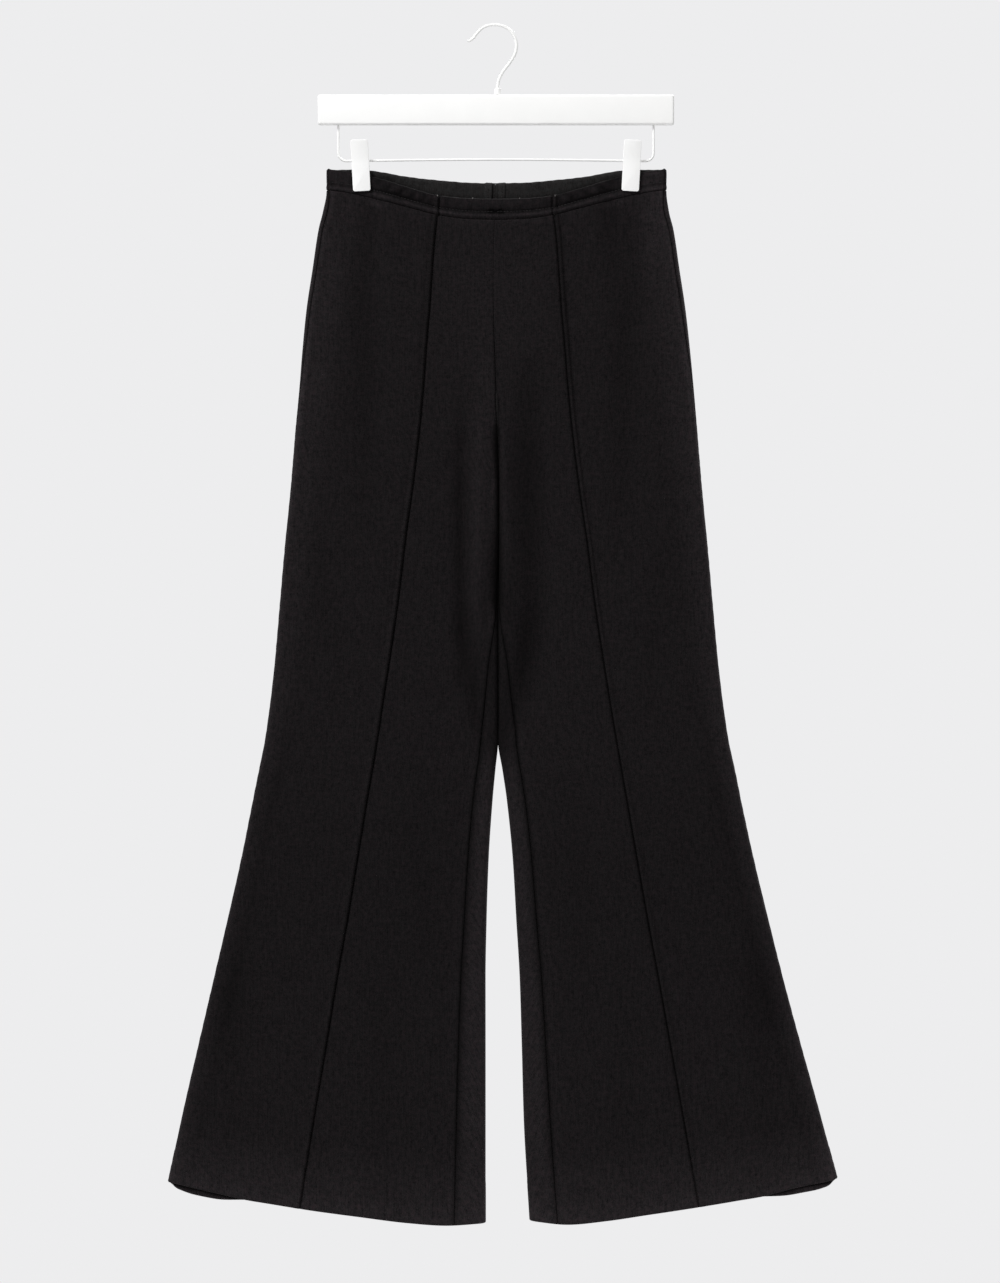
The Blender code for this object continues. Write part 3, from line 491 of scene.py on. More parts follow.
def ease(share):
    """0 to 1 with no corner at either end."""
    share = np.clip(share, 0, 1)
    return share * share * (3 - 2 * share)


def quarter(distance, radius):
    """The rounding of a folded edge: 0 on the edge, 1 from the radius inwards."""
    left = 1 - np.clip(distance / radius, 0, 1)
    return np.sqrt(1 - left * left)


def legs_share(down):
    """0 where the two halves are one tube, 1 below the crotch, and the rise seam's curve between."""
    t = np.clip((down - SPLIT_TOP) / (CROTCH_DOWN - SPLIT_TOP), 0, 1)
    return 1 - (1 - t * t) ** RISE_CURVE


def pinch(x, down):
    """How strongly the clips hold the two layers together."""
    from_clip = np.min([np.abs(x - clip) for clip in PINCH_X], axis=0)
    across = 1 - ease((from_clip - PINCH_FLAT) / (PINCH_REACH - PINCH_FLAT))
    return across * (1 - ease((down - PINCH_TOP) / (PINCH_BOTTOM - PINCH_TOP)))


def near(distance, reach):
    """1 on a line, fading away from it."""
    return np.exp(-((distance / reach) ** 2))


def sway(layer, x, down):
    """The slight long waves of cloth that hangs free, deeper towards the hem."""
    turn = {"front": 0.0, "back": 2.1}[layer]
    across, along, wide_across, wide_along = SWAY_WAVES
    waves = np.sin(x / across + down / along + turn)
    waves += 0.7 * np.sin(x / wide_across - down / wide_along + 1.7 * turn + 0.6)
    return SWAY * waves * (0.35 + 0.65 * ease(down / SWAY_FULL))


def folds(rows, x, down, taper=0.7):
    """The depth of a table's hollows and ridges, each tapered to its two ends."""
    total = np.zeros_like(x)
    for fold in rows:
        t = (down - fold.top_down) / (fold.bottom_down - fold.top_down)
        if 0 < t < 1:
            middle = fold.top_x + (fold.bottom_x - fold.top_x) * t
            total += fold.depth * math.sin(math.pi * t) ** taper * near(x - middle, fold.half_width)
    return total


def layer_depth(layer, down, x, span, width):
    """Half the thickness of the garment, from its middle plane to the outer face of one layer."""
    middle = smooth(LEVELS, layer, down)
    fold = smooth(LEVELS, "fold", down)
    torso = fold + (middle - fold) * (1 - (span / width) ** 2)
    leg = fold + (middle - fold) * (1 - (2 * span / width - 1) ** 2)
    shaped = ease((down - LEG_SHAPE_TOP) / (LEG_SHAPE_BOTTOM - LEG_SHAPE_TOP))
    fork = FORK_OPEN * near(down - FORK_DOWN, FORK_REACH) if layer == "front" else 0.0
    inner_round = 1 - legs_share(down) * (1 - quarter(span, FOLD_ROUND * fold * (1 + fork)))
    outer_round = quarter(width - span, FOLD_ROUND * fold)
    full = torso + (leg - torso) * shaped
    depth = (full - folds(FOLDS[layer], x, down) - sway(layer, x, down)) * inner_round
    held = pinch(x, down)
    return (depth * (1 - held) + PINCH_DEPTH * held) * outer_round


def layer_dip(layer, side, down, span, width):
    """How far the cloth at this level hangs below it, because the waist and the hem are curved."""
    share = span / width
    if layer == "front":
        top = smooth(WAIST_DIPS, "front_top", share)
        seam = smooth(WAIST_DIPS, "front_seam", share)
        waist = top + (seam - top) * min(max(down, 0) / BAND_HEIGHT, 1)
    else:
        waist = smooth(WAIST_DIPS, "back", share)
    hem = smooth(HEM_DIPS, side, 1 - share)
    if layer == "back":
        hem = hem + smooth(HEM_DIPS, "back_lower", 1 - share)
    waist_fade = 1 - ease((down - BAND_HEIGHT) / (WAIST_DIP_BOTTOM - BAND_HEIGHT))
    hem_fade = np.clip((down - HEM_DIP_TOP) / (HEM_DOWN - HEM_DIP_TOP), 0, 1) ** HEM_DIP_GROWTH
    return waist * waist_fade + hem * hem_fade


class Section:
    """The outer face of one half of the garment at one level: a path along the cloth, from the centre front
    or the inner fold, across the front, round the side fold, across the back and, in a leg, round to the
    front again."""

    def __init__(self, side, down):
        sign = SIGN[side]
        self.side, self.down, self.sign = side, down, sign
        # Below the crotch the legs lean on each other.
        apart = SEAM_GAP - (SEAM_GAP + LEG_TOUCH) * legs_share(down)
        x_in = smooth(LEVELS, side + "_in", down) + sign * apart / 2
        x_out = smooth(LEVELS, side + "_out", down)
        self.x_in, self.x_out = x_in, x_out
        width = abs(x_out - x_in)
        span = width * (1 - np.cos(np.linspace(0, math.pi, PATH_STEPS))) / 2
        x = x_in + sign * span
        layers = {}
        for layer, facing in (("front", -1), ("back", 1)):
            depth = layer_depth(layer, down, x, span, width)
            dip = layer_dip(layer, side, down, span, width)
            layers[layer] = np.column_stack([x, facing * depth, -WAIST_DROP - down - dip])
        around = [layers["front"], layers["back"][::-1][1:]]
        if down >= CROTCH_DOWN:
            around.append(layers["front"][1:])
        self.points = np.concatenate(around)
        steps = np.hypot(*np.diff(self.points[:, :2], axis=0).T)
        self.distance = np.concatenate([[0], np.cumsum(steps)])
        tangent = np.gradient(self.points[:, :2], self.distance, axis=0)
        tangent /= np.linalg.norm(tangent, axis=1)[:, None]
        self.outward = sign * np.column_stack([tangent[:, 1], -tangent[:, 0]])
        if down < CROTCH_DOWN:
            for end in (0, -1):  # the cloth never leans over the centre line
                self.outward[end, 0] = sign * min(sign * self.outward[end, 0], 0)
        self.side_fold = self.distance[PATH_STEPS - 1]
        self.back_end = self.distance[2 * PATH_STEPS - 2]
        tuck_span = abs(smooth(LINES, side + "_tuck", down) - x_in)
        self.tuck = np.interp(tuck_span, span, self.distance[:PATH_STEPS])
        self.side_seam = self.side_fold - smooth(LINES, "side_seam", down)
        self.inseam = smooth(LINES, side + "_inseam", down) if down >= CROTCH_DOWN else 0.0

    def at(self, places):
        """The cloth's outer face and its outward direction at the places along the path."""
        points = np.column_stack([np.interp(places, self.distance, self.points[:, k]) for k in range(3)])
        out = np.column_stack([np.interp(places, self.distance, self.outward[:, k]) for k in range(2)])
        out /= np.linalg.norm(out, axis=1)[:, None]
        return points, np.column_stack([out, np.zeros(len(out))])


def run(first, last, steps):
    """Even places after the first one, up to and with the last."""
    return np.linspace(first, last, steps + 1)[1:]


def front_places(section):
    """Places across a front panel from its inner seam to its side seam, closest at folds and tuck."""
    first = section.inseam + SEAM_GAP / 2 if section.down >= CROTCH_DOWN else 0.0
    last = section.side_seam - SEAM_GAP / 2
    roll = SEAM_ROLL * np.array(ROLL_STEPS)
    tuck = section.tuck + np.array([point.across for point in TUCK])
    return np.concatenate([
        first + roll,
        run(first + SEAM_ROLL, first + NEAR_SEAM, 9),
        run(first + NEAR_SEAM, tuck[0], 26),
        tuck[1:],
        run(tuck[-1], last - NEAR_FOLD, 34),
        run(last - NEAR_FOLD, last - SEAM_ROLL, 11),
        last - roll[::-1][1:],
    ])


def back_places(section):
    """Places across a back panel, from its side seam round the side fold to its other seam."""
    first = section.side_seam + SEAM_GAP / 2
    last = section.back_end + (section.inseam - SEAM_GAP / 2 if section.down >= CROTCH_DOWN else 0.0)
    roll = SEAM_ROLL * np.array(ROLL_STEPS)
    around = section.side_fold + NEAR_FOLD
    before_wrap = section.back_end - NEAR_WRAP
    return np.concatenate([
        first + roll,
        run(first + SEAM_ROLL, around, 15),
        run(around, before_wrap, 54),
        run(before_wrap, last - SEAM_ROLL, 16),
        last - roll[::-1][1:],
    ])


def ripple(along):
    """An uneven wave along a sewn line, about -1 to 1, where the thread draws the cloth in."""
    quick = np.sin(along / 1.13 + 0.9 * np.sin(along / 9.1))
    return 0.5 * quick + 0.3 * np.sin(along / 2.3 + 1.3) + 0.2 * np.sin(along / 5.7)


def seam_drop(distance, strength=1.0):
    """How far the cloth turns in where it is sewn to its neighbour."""
    turned = 1 - quarter(distance, SEAM_ROLL)
    return SEAM_ROLL * turned * strength


SEAM_PUCKER, TUCK_PUCKER, PLEAT_UNEVEN = 0.16, 0.14, 0.10
HEM_PROUD = 0.3  # the doubled hem stands this far out
BLIND_STITCH, BLIND_STITCH_PITCH = 0.16, 9.0
RISE_PRESSED, RISE_SUNK = 70.0, 210.0


def rise_depth(down):
    """0 near the waist, where the rise seam is pressed flat, to 1 at the hips, where it sinks in."""
    return ease((down - RISE_PRESSED) / (RISE_SUNK - RISE_PRESSED))


def face_relief(section, places, layer):
    """What sewing does to a panel's face, in mm outwards: rolled seams, their puckers, and the pleat."""
    down = section.down
    from_first, from_last = places - places[0], places[-1] - places
    rise_seam = layer == "front" and down < CROTCH_DOWN
    pressed = 0.15 + 0.85 * rise_depth(down) if rise_seam else 1.0
    relief = -seam_drop(from_first, pressed) - seam_drop(from_last)
    pull = SEAM_PUCKER * ripple(np.full_like(places, down))
    relief += pull * (near(from_first, 5) + 1.2 * near(from_last, 6))
    if layer == "front":
        across = places - section.tuck
        low = ease((down - TUCK_TURN_TOP) / (TUCK_TURN_BOTTOM - TUCK_TURN_TOP))
        upper = smooth(TUCK, "upper", across)
        lower = smooth(TUCK, "lower", across)
        uneven = 1 + PLEAT_UNEVEN * ripple(np.full_like(places, down * 1.3 + 40))
        relief += (upper + (lower - upper) * low) * uneven
        relief += TUCK_PUCKER * ripple(np.full_like(places, down * 0.9)) * near(across - 1.5, 7)
    from_edge = down - (HEM_DOWN - HEM_DEPTH)
    relief += HEM_PROUD * ease((from_edge + 1.5) / 3.0)
    pulled = 0.5 + 0.5 * np.cos(places * 2 * math.pi / BLIND_STITCH_PITCH)
    return relief - BLIND_STITCH * near(from_edge - 3, 1.5) * pulled


# The painted highlight along the side fold: mm below the waist, the share that the cloth is painted lighter
# there, how far that reaches in, how much lighter still the edge is painted, and how far in from the fold
# that lies.
Rim = namedtuple("Rim", "down lighter reach edge edge_in")
RIMS = [Rim(*row) for row in (
    (0, 0.30, 31, 0.50, 4.2),
    (40, 0.50, 34, 0.85, 4.6),
    (160, 0.50, 33, 0.85, 4.4),
    (230, 0.46, 31, 0.78, 2.6),
    (340, 0.37, 26, 0.60, 1.4),
    (530, 0.33, 20, 0.50, 1.0),
    (680, 0.21, 15, 0.50, 1.0),
    (1010, 0.18, 15, 0.50, 1.0),
)]
# Where the legs lean together, the shade between them reaches this many mm onto each.
Lean = namedtuple("Lean", "down left right")
LEANS = [Lean(*row) for row in (
    (246, 1.2, 1.2),
    (273, 6.0, 2.2),
    (305, 2.6, 1.7),
    (350, 2.8, 2.8),
    (372, 4.4, 3.8),
    (405, 7.6, 5.2),
    (428, 8.6, 5.4),
    (446, 3.4, 3.2),
    (470, 1.8, 1.6),
    (568, 1.5, 1.4),
)]
LEGS_PART = 568.0  # below this the inner folds lie apart
# Painted light (+) and painted shade (-), and two marks of folding, by a share: the layer and side they are
# on, what is measured across the cloth, where the place's middle is and how far it fades, and the same down
# the cloth.
Mark = namedtuple("Mark", "layer side measure at reach down fade share")
ALL = math.inf
PANEL_MARKS = [Mark(*row) for row in (
    ("both", "both", "from_outer", 5.5, 3, 0, ALL, 0.12),  # painted highlight on the side fold
    ("both", "both", "from_inner", 0, 9, 586, 32, -0.50),  # the shade where the legs part
    ("both", "both", "from_inner", 0, 24, 508, 56, -0.28),
    ("both", "both", "x", 0, ALL, 720, 110, -0.09),
    ("both", "both", "x", 0, ALL, HEM_DOWN, 13, 0.52),  # painted highlight along the doubled hem
    ("front", "both", "x", -12, 52, 110, 110, 0.15),  # painted light on the belly
    ("front", "both", "x", -14, 10, 300, 130, 0.26),  # painted highlight on the ridge beside the rise seam's end
    ("front", "left", "from_inner", 6, 6, 300, 90, 0.32),
    ("front", "right", "from_inner", 7, 6, 432, 30, -0.35),
    ("front", "both", "x", 0, ALL, BAND_HEIGHT + 5, 3.5, 0.10),  # under the band
    ("front", "both", "x", 0, 62, BAND_HEIGHT, 1.6, 0.50),
    ("front", "both", "off_centre", 55, 42, 592, 1.8, 0.12),  # marks of folding
    ("front", "both", "off_centre", 268, 22, 826, 30, -0.16),
)]
# Painted shade in the pressed seams and in the tucks' grooves.
SEAM_DARK, SEAM_DARKER_LOW, FLAT_SEAM_DARK = 0.44, 0.18, 0.45
TUCK_DARK, TUCK_DARKER_LOW = {"left": 0.34, "right": 0.46}, 0.16
HOLLOW_SHADE = 0.045  # how much darker the cloth is for each mm that it is folded in
# Painted highlight towards the hem.
HEM_LIGHT, HEM_LIGHT_FLAT, HEM_LIGHT_FADE = 0.46, 18, 48
CREASE_X, CREASE_DOWN, CREASE_SLANT = 233, 803, 0.06  # a faint pressed line across each leg
CRUSHED_X, CRUSHED_DOWN = (-119.0, 119.0), 25.0  # where the clips have crushed the nap
# Painted highlight on the folded edges, stronger on the side away from the main light.
EDGE_HIGHLIGHT, EDGE_HIGHLIGHT_BY_HIP, OFF_LIGHT = 0.5, 0.46, 0.03
LEAN_SHADE = 0.88
WRAP_LIGHT, WRAP_EDGE = 0.60, 11.5  # painted highlight on the back's edge that shows on the front, and how wide that edge is
# Painted shadow under the front's hem on the back hem's inside, and a painted highlight on its lower edge.
UNDER_HEM_SHADOW, HEM_EDGE_LIGHT = 0.88, 1.2


def marked(marks, layer, side, measures, down):
    """The sum of the marks' shares at the points of one row of the cloth."""
    total = 0.0
    for mark in marks:
        if mark.layer in (layer, "both") and mark.side in (side, "both"):
            across = near(measures[mark.measure] - mark.at, mark.reach)
            total = total + mark.share * across * near(down - mark.down, mark.fade)
    return total


def face_tone(section, points, places, layer):
    """How much lighter (+) or darker (-) the panel's face is painted, as a share: painted shade in pressed
    seams, in hollows and between the legs, a painted highlight on the doubled hem and on the folded edges,
    and lighter where the clips crush the nap."""
    down, side, x = section.down, section.side, points[:, 0]
    in_leg = down >= CROTCH_DOWN
    low = ease((down - 520) / 80)
    from_inner_seam, from_side_seam = places - places[0], places[-1] - places
    if layer == "back":
        from_inner_seam, from_side_seam = from_side_seam, from_inner_seam
    from_outer, from_inner = section.sign * (section.x_out - x), section.sign * (x - section.x_in)
    measures = {"x": x, "off_centre": np.abs(x), "from_outer": from_outer, "from_inner": from_inner}
    tone = marked(PANEL_MARKS, layer, side, measures, down)
    lighter, reach, edge, edge_in = (smooth(RIMS, name, down) for name in Rim._fields[1:])
    tone += lighter * np.exp(-((from_outer / reach) ** 4)) + edge * near(from_outer - edge_in, 3.0)
    tone -= 0.11 * near(from_outer - 21, 4.5) * ease((down - 520) / 60)
    if in_leg:
        tone -= (SEAM_DARK + SEAM_DARKER_LOW * low) * near(from_inner_seam, 1.8)
        tone += 0.10 * near(from_inner_seam - 6, 4) * (layer == "front")
        # Below where the legs part, a painted highlight on the back's edge that shows beside the inner
        # fold.
        apart = ease((down - LEGS_PART) / 36)
        past_seam = from_inner - section.inseam + WRAP_EDGE
        wrapped = 1 / (1 + np.exp(np.clip(past_seam / 1.6, -30, 30)))
        light = WRAP_LIGHT * apart * (1 - 0.55 * ease((down - 930) / 60))
        tone += wrapped * (light - 0.08 * (1 - apart))
    else:
        sunk = rise_depth(down) if layer == "front" else 1.0
        tone -= FLAT_SEAM_DARK * near(from_inner_seam, 1.3) * sunk
    tone += HEM_LIGHT * (1 - ease((HEM_DOWN - down - HEM_LIGHT_FLAT) / HEM_LIGHT_FADE))
    if layer == "front":
        from_tuck = places - section.tuck
        # Painted shade in the tuck's groove and beside its pleat.
        tone -= (TUCK_DARK[side] + TUCK_DARKER_LOW * ease(down / 500)) * near(from_tuck + 0.5, 1.1)
        tone -= 0.26 * (1 - ease((down - 170) / 120)) * near(from_tuck - 3.0, 3.2)
        from_crease = np.abs(x) - CREASE_X
        tone -= 0.16 * near(down - CREASE_DOWN + CREASE_SLANT * from_crease, 2.0) * near(from_crease, 26)
        for crushed_x in CRUSHED_X:
            crushed = near(x - crushed_x, 9) * near(down - CRUSHED_DOWN, 3.4)
            tone += crushed * (0.7 + 0.3 * np.sin(places * 2.1 + 3 * np.sin(down * 0.9)))
    tone -= HOLLOW_SHADE * folds(FOLDS[layer], x, down)
    # A painted highlight on the folded edge that looks away from the main light, so a leg's two edges show
    # alike.
    off_light = (side == "right") == (points[:, 1] < 0)
    turned = np.where(off_light, from_outer, from_inner if in_leg else 1000.0)
    edge_highlight = EDGE_HIGHLIGHT * near(turned - 0.5, 3.2) + 0.12 * near(turned, 15)
    edge_highlight += EDGE_HIGHLIGHT_BY_HIP * near(turned - 3.6, 2.8) * near(down - 215, 90)
    # Painted shade in the side seam.
    seam = (0.58 - 0.46 * ease((down - 200) / 180)) * near(from_side_seam, 1.5)
    leaning = ease((down - LEANS[0].down) / 12) * (1 - ease((down - LEGS_PART + 14) / 16))
    between = LEAN_SHADE * leaning * near(from_inner, smooth(LEANS, side, down))
    tone = (1 + tone) * (1 + OFF_LIGHT * off_light + edge_highlight) * (1 - seam) * (1 - between) - 1
    return np.clip(tone, -0.9, 2.2)


def hem_inside_tone(section, points, tone):
    """The tone of the back hem's inner side, which shows below the front's: a painted shadow under the
    front's hem, with a painted highlight on its edge.
    """
    span = np.abs(points[:, 0] - section.x_in)
    dip = layer_dip("front", section.side, HEM_DOWN, span, abs(section.x_out - section.x_in))
    below = -WAIST_DROP - HEM_DOWN - dip - points[:, 2]
    edge = ease((below - 3.6) / 1.2)
    dark = UNDER_HEM_SHADOW * near(below - 1.6, 2.6) * (1 - edge)
    return (1 + tone + HEM_EDGE_LIGHT * edge) * (1 - dark) - 1


BODY_TOP = BAND_HEIGHT + SEAM_GAP
TURN_ANGLES = np.radians([30, 60, 90, 120, 150, 180])
# Each row of a panel: its level, how far it lies inside the outer face, how much of the face's relief it
# keeps, and how far it hangs below its level.
PanelRow = namedtuple("PanelRow", "down inside relief drop")
PANEL_ROWS = [PanelRow(BODY_TOP, SEAM_ROLL + SEAM_TURN, 1.0, 0.0)]
PANEL_ROWS += [
    PanelRow(BODY_TOP + SEAM_ROLL * share, SEAM_ROLL * (1 - quarter(share, 1)), 1.0, 0.0)
    for share in ROLL_STEPS
]
HEM_BEND = HEM_DOWN - HEM_ROLL
FACE_RUNS = ((BODY_TOP + SEAM_ROLL, 225, 56), (225, 318, 38), (318, 970, 140), (970, HEM_BEND, 20))
for top, bottom, steps in FACE_RUNS:
    PANEL_ROWS += [PanelRow(down, 0.0, 1.0, 0.0) for down in run(top, bottom, steps)]
PANEL_ROWS += [
    PanelRow(HEM_BEND, HEM_ROLL * (1 - math.cos(a)), math.cos(a / 2) ** 2, HEM_ROLL * math.sin(a))
    for a in TURN_ANGLES
]
for bottom, top, steps in ((HEM_BEND, HEM_BEND - 9.6, 8), (HEM_BEND - 9.6, HEM_DOWN - HEM_DEPTH, 6)):
    PANEL_ROWS += [PanelRow(down, 2 * HEM_ROLL, 0.0, 0.0) for down in run(bottom, top, steps)]


def mesh_of(name, points, faces, cloth, materials, face_materials=None, tones=None):
    """A smooth mesh with the cloth's own coordinates, in metres, as its UV map, and each point's tone."""
    mesh = bpy.data.meshes.new(name)
    mesh.from_pydata(points.tolist(), [], [tuple(int(k) for k in face) for face in faces])
    layer = mesh.uv_layers.new(name="cloth")
    corners = np.empty(len(mesh.loops), np.int32)
    mesh.loops.foreach_get("vertex_index", corners)
    layer.data.foreach_set("uv", np.asarray(cloth, np.float32)[corners].ravel())
    for material in materials:
        mesh.materials.append(material)
    if face_materials is not None:
        mesh.polygons.foreach_set("material_index", np.asarray(face_materials, np.int32))
    if tones is not None:
        tone = mesh.attributes.new("tone", "FLOAT", "POINT")
        tone.data.foreach_set("value", np.asarray(tones, np.float32))
    mesh.shade_smooth()
    return mesh


def cloth_shell(name, grid, across, lengths, thickness, turned, materials, row_materials=None, tones=None):
    """A thin shell on rows of points in mm, with the cloth's x for each point and its y for each row."""
    rows, columns = len(grid), len(grid[0])
    points = np.concatenate(grid) * MM
    points[:, 0] += GARMENT_X * MM
    index = np.arange(rows * columns).reshape(rows, columns)
    corners = [index[:-1, :-1], index[1:, :-1], index[1:, 1:], index[:-1, 1:]]
    quads = np.stack(corners, axis=-1).reshape(-1, 4)
    cloth = np.column_stack([np.concatenate(across), np.repeat(lengths, columns)]) * MM
    face_materials = None if row_materials is None else np.repeat(row_materials, columns - 1)
    tones = None if tones is None else np.concatenate(tones)
    quads = quads[:, ::-1] if turned else quads
    piece = place(name, mesh_of(name, points, quads, cloth, materials, face_materials, tones))
    thick = piece.modifiers.new("cloth", "SOLIDIFY")
    thick.thickness = thickness * MM
    thick.offset = -1
    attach(piece, "root")
    return piece


def cut_area(widths, lengths):
    """The flat area of a cut piece, in square metres, from its width at each length."""
    pairs = zip(widths, widths[1:], lengths, lengths[1:])
    return sum((wide + wider) / 2 * (far - at) for wide, wider, at, far in pairs) * MM * MM


CUT_FROM = {"front": 0.0, "back": 1700.0}  # where each pair of panels lies on the roll
# The turned edges lean this far towards each other, so that no light comes through.
SEAM_MEET = SEAM_GAP / 2 + 0.2


def cloth_panel(name, side, layer, place_columns):
    """One panel as a thin shell, with its edges turned in at the seams and its hem turned up inside."""
    grid, across, widths, tones = [], [], [], []
    for row in PANEL_ROWS:
        section = Section(side, row.down)
        places = place_columns(section)
        points, out = section.at(places)
        tone = face_tone(section, points, places, layer)
        to_neighbour = points[[0, -1]] - points[[1, -2]]
        to_neighbour *= SEAM_MEET / np.linalg.norm(to_neighbour, axis=1)[:, None]
        relief = face_relief(section, places, layer) * row.relief - row.inside
        points = points + out * relief[:, None]
        points[:, 2] -= row.drop
        if layer == "back" and row.relief < 1:
            tone += (hem_inside_tone(section, points, tone) - tone) * (1 - row.relief)
        tones.append(np.concatenate([tone[:1], tone, tone[-1:]]))
        turn = SEAM_TURN * min(1.0, row.relief)
        meet = to_neighbour * min(1.0, row.relief)
        first, last = points[:1] - out[:1] * turn + meet[:1], points[-1:] - out[-1:] * turn + meet[1:]
        grid.append(np.concatenate([first, points, last]))
        along = np.concatenate([places[:1] - turn, places, places[-1:] + turn])
        across.append(CUT_FROM[layer] + section.sign * along)
        widths.append(places[-1] - places[0])
    lengths = [0.0]
    for row, after in zip(PANEL_ROWS, PANEL_ROWS[1:]):
        step = math.hypot(after.down - row.down + after.drop - row.drop, after.inside - row.inside)
        lengths.append(lengths[-1] + step)
    piece = cloth_shell(name, grid, across, lengths, CLOTH_THICK, side == "left", [knit_face], tones=tones)
    return piece, (max(widths) * MM, lengths[-1] * MM), cut_area(widths, lengths)


for side in ("left", "right"):
    name = f"front_{side}_cloth"
    piece, flat, area = cloth_panel(name, side, "front", front_places)
    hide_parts(f"front_{side}")

# ---------- Back panels ----------
# Two backs of the same knit, joined by the seat seam, each wrapping round the side fold to the side seam
# and, in the leg, round the inner fold to the inseam on the front.
for side in ("left", "right"):
    name = f"back_{side}_cloth"
    piece, flat, area = cloth_panel(name, side, "back", back_places)
    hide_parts(f"back_{side}")

# ---------- Waistband ----------
# A strip of the same knit folded over soft elastic: one piece across the front, and two behind with a seam
# between them at the centre back. The stitching to the panels leaves a groove above a soft, puckered ridge.
FOLD_OVER = 1.3
CASING = 2 * FOLD_OVER
CASING_KNIT = 0.7
BAND_TURN = 0.8
GROOVE_DOWN, RIDGE_DOWN = 12.6, 16.4
SIDE_GROOVE_X, SIDE_GROOVE_LOWER = 122, 2.4  # from here outwards the groove lies lower
DRAG_X, DRAG_REACH, DRAG_DEPTH = 94, 26, 0.7  # the knit is drawn in between each clip and tuck
RIDGE_PUCKER, BAND_GATHER, EDGE_RIPPLE = 0.34, 0.15, 0.22
END_LIFT, FLAP_LIFT = 0.9, 0.5  # how far the band's edge rises at its ends and over the allowances
BandPoint = namedtuple("BandPoint", "down out")
BAND_FACE = [BandPoint(*row) for row in (
    (0.0, 0.25),
    (1.5, 0.7),
    (4.0, 0.65),
    (7.0, 0.3),
    (10.0, -0.25),
    (11.6, -0.8),
    (12.6, -1.25),
    (13.4, -0.9),
    (14.6, 0.3),
    (15.8, 0.95),
    (17.0, 1.05),
    (18.3, 0.8),
    (19.4, 0.3),
    (20.4, -0.6),
)]
# Drag lines in the band between the clips and the tucks: hollows (+) and ridges (-), mm from the centre
# line and mm below the band's edge.
BAND_FOLDS = [Fold(*row) for row in (
    (-113, -1, -119, 8, 3.4, 0.6),
    (-103, 1, -113, 12, 2.8, 0.7),
    (-97, 0, -106, 11, 2.4, -0.45),
    (-90, 1, -99, 12, 2.7, 0.8),
    (-79, 2, -87, 12, 2.2, 0.65),
    (-74, 1, -81, 11, 2.0, -0.4),
    (-69, 2, -75, 12, 2.0, 0.6),
    (-63, 4, -67, 12, 1.7, 0.5),
    (-47, 2, -52, 11, 2.6, 0.3),
    (49, 2, 53, 11, 2.4, 0.35),
    (62, 3, 66, 12, 1.9, 0.65),
    (67, 2, 72, 11, 1.8, -0.4),
    (73, 2, 79, 12, 2.3, 0.7),
    (86, 1, 94, 12, 2.6, 0.6),
    (93, 0, 101, 11, 2.4, -0.4),
    (101, 1, 112, 12, 3.0, 0.75),
    (114, -1, 120, 8, 3.0, 0.5),
)]
TUCK_SHIFT = 1.6  # the band takes up the tuck's pleat this far towards the centre
LOBES = (-4.2, 4.4)  # two hollows at the centre front, where the ends of the elastic are caught
LOBE_DOWN, LOBE_WIDE, LOBE_HIGH, LOBE_DEPTH = 12.6, 3.3, 2.6, 1.3
DEEPEST = 1.75  # where the thread draws the band in to its own back
INNER_HANG = 5.5
ALLOWANCE_EDGE, ALLOWANCE_FOLD, ALLOWANCE_RISE = 10.4, 2.6, 1.0
ALLOWANCE_STITCH = 2.7

BandRow = namedtuple("BandRow", "down inside outer")  # the last is 1 on the outer face and 0 on the inner
BAND_ROWS = [BandRow(down, CASING, 0.0) for down in np.linspace(BAND_HEIGHT + INNER_HANG, FOLD_OVER, 28)]
BAND_ROWS += [
    BandRow(FOLD_OVER * (1 - math.sin(a)), FOLD_OVER * (1 + math.cos(a)), (1 - math.cos(a)) / 2)
    for a in np.radians(np.arange(18, 180, 18))
]
BAND_ROWS += [BandRow(down, 0.0, 1.0) for down in np.linspace(FOLD_OVER, 10.0, 11)]
BAND_ROWS += [BandRow(down, 0.0, 1.0) for down in run(10.0, BAND_HEIGHT, 26)]
BAND_ROWS += [BandRow(BAND_HEIGHT, BAND_TURN, 1.0)]


def band_front_places(section):
    """Places across half of the front band, from the centre to the side seam."""
    last = section.side_seam - SEAM_GAP / 2
    tuck = section.tuck - TUCK_SHIFT
    return np.concatenate([
        [0.0],
        run(0, 10, 20),
        run(10, tuck - 4, 34),
        run(tuck - 4, tuck + 6, 24),
        run(tuck + 6, last - 4, 92),
        run(last - 4, last - SEAM_ROLL, 7),
        last - SEAM_ROLL * np.array(ROLL_STEPS[::-1][1:]),
    ])


def band_back_places(section):
    """Places across half of the back band, from the side seam round the side fold to the centre seam."""
    first = section.side_seam + SEAM_GAP / 2
    last = section.back_end
    around = section.side_fold + 14
    return np.concatenate([
        first + SEAM_ROLL * np.array(ROLL_STEPS),
        run(first + SEAM_ROLL, around, 18),
        run(around, last - 14, 96),
        run(last - 14, last - SEAM_ROLL, 40),
        last - SEAM_ROLL * np.array(ROLL_STEPS[::-1][1:]),
    ])


def lobes(x, down):
    """1 in the two hollows at the centre front, fading round them."""
    return sum(near(x - lobe, LOBE_WIDE) for lobe in LOBES) * near(down - LOBE_DOWN, LOBE_HIGH)


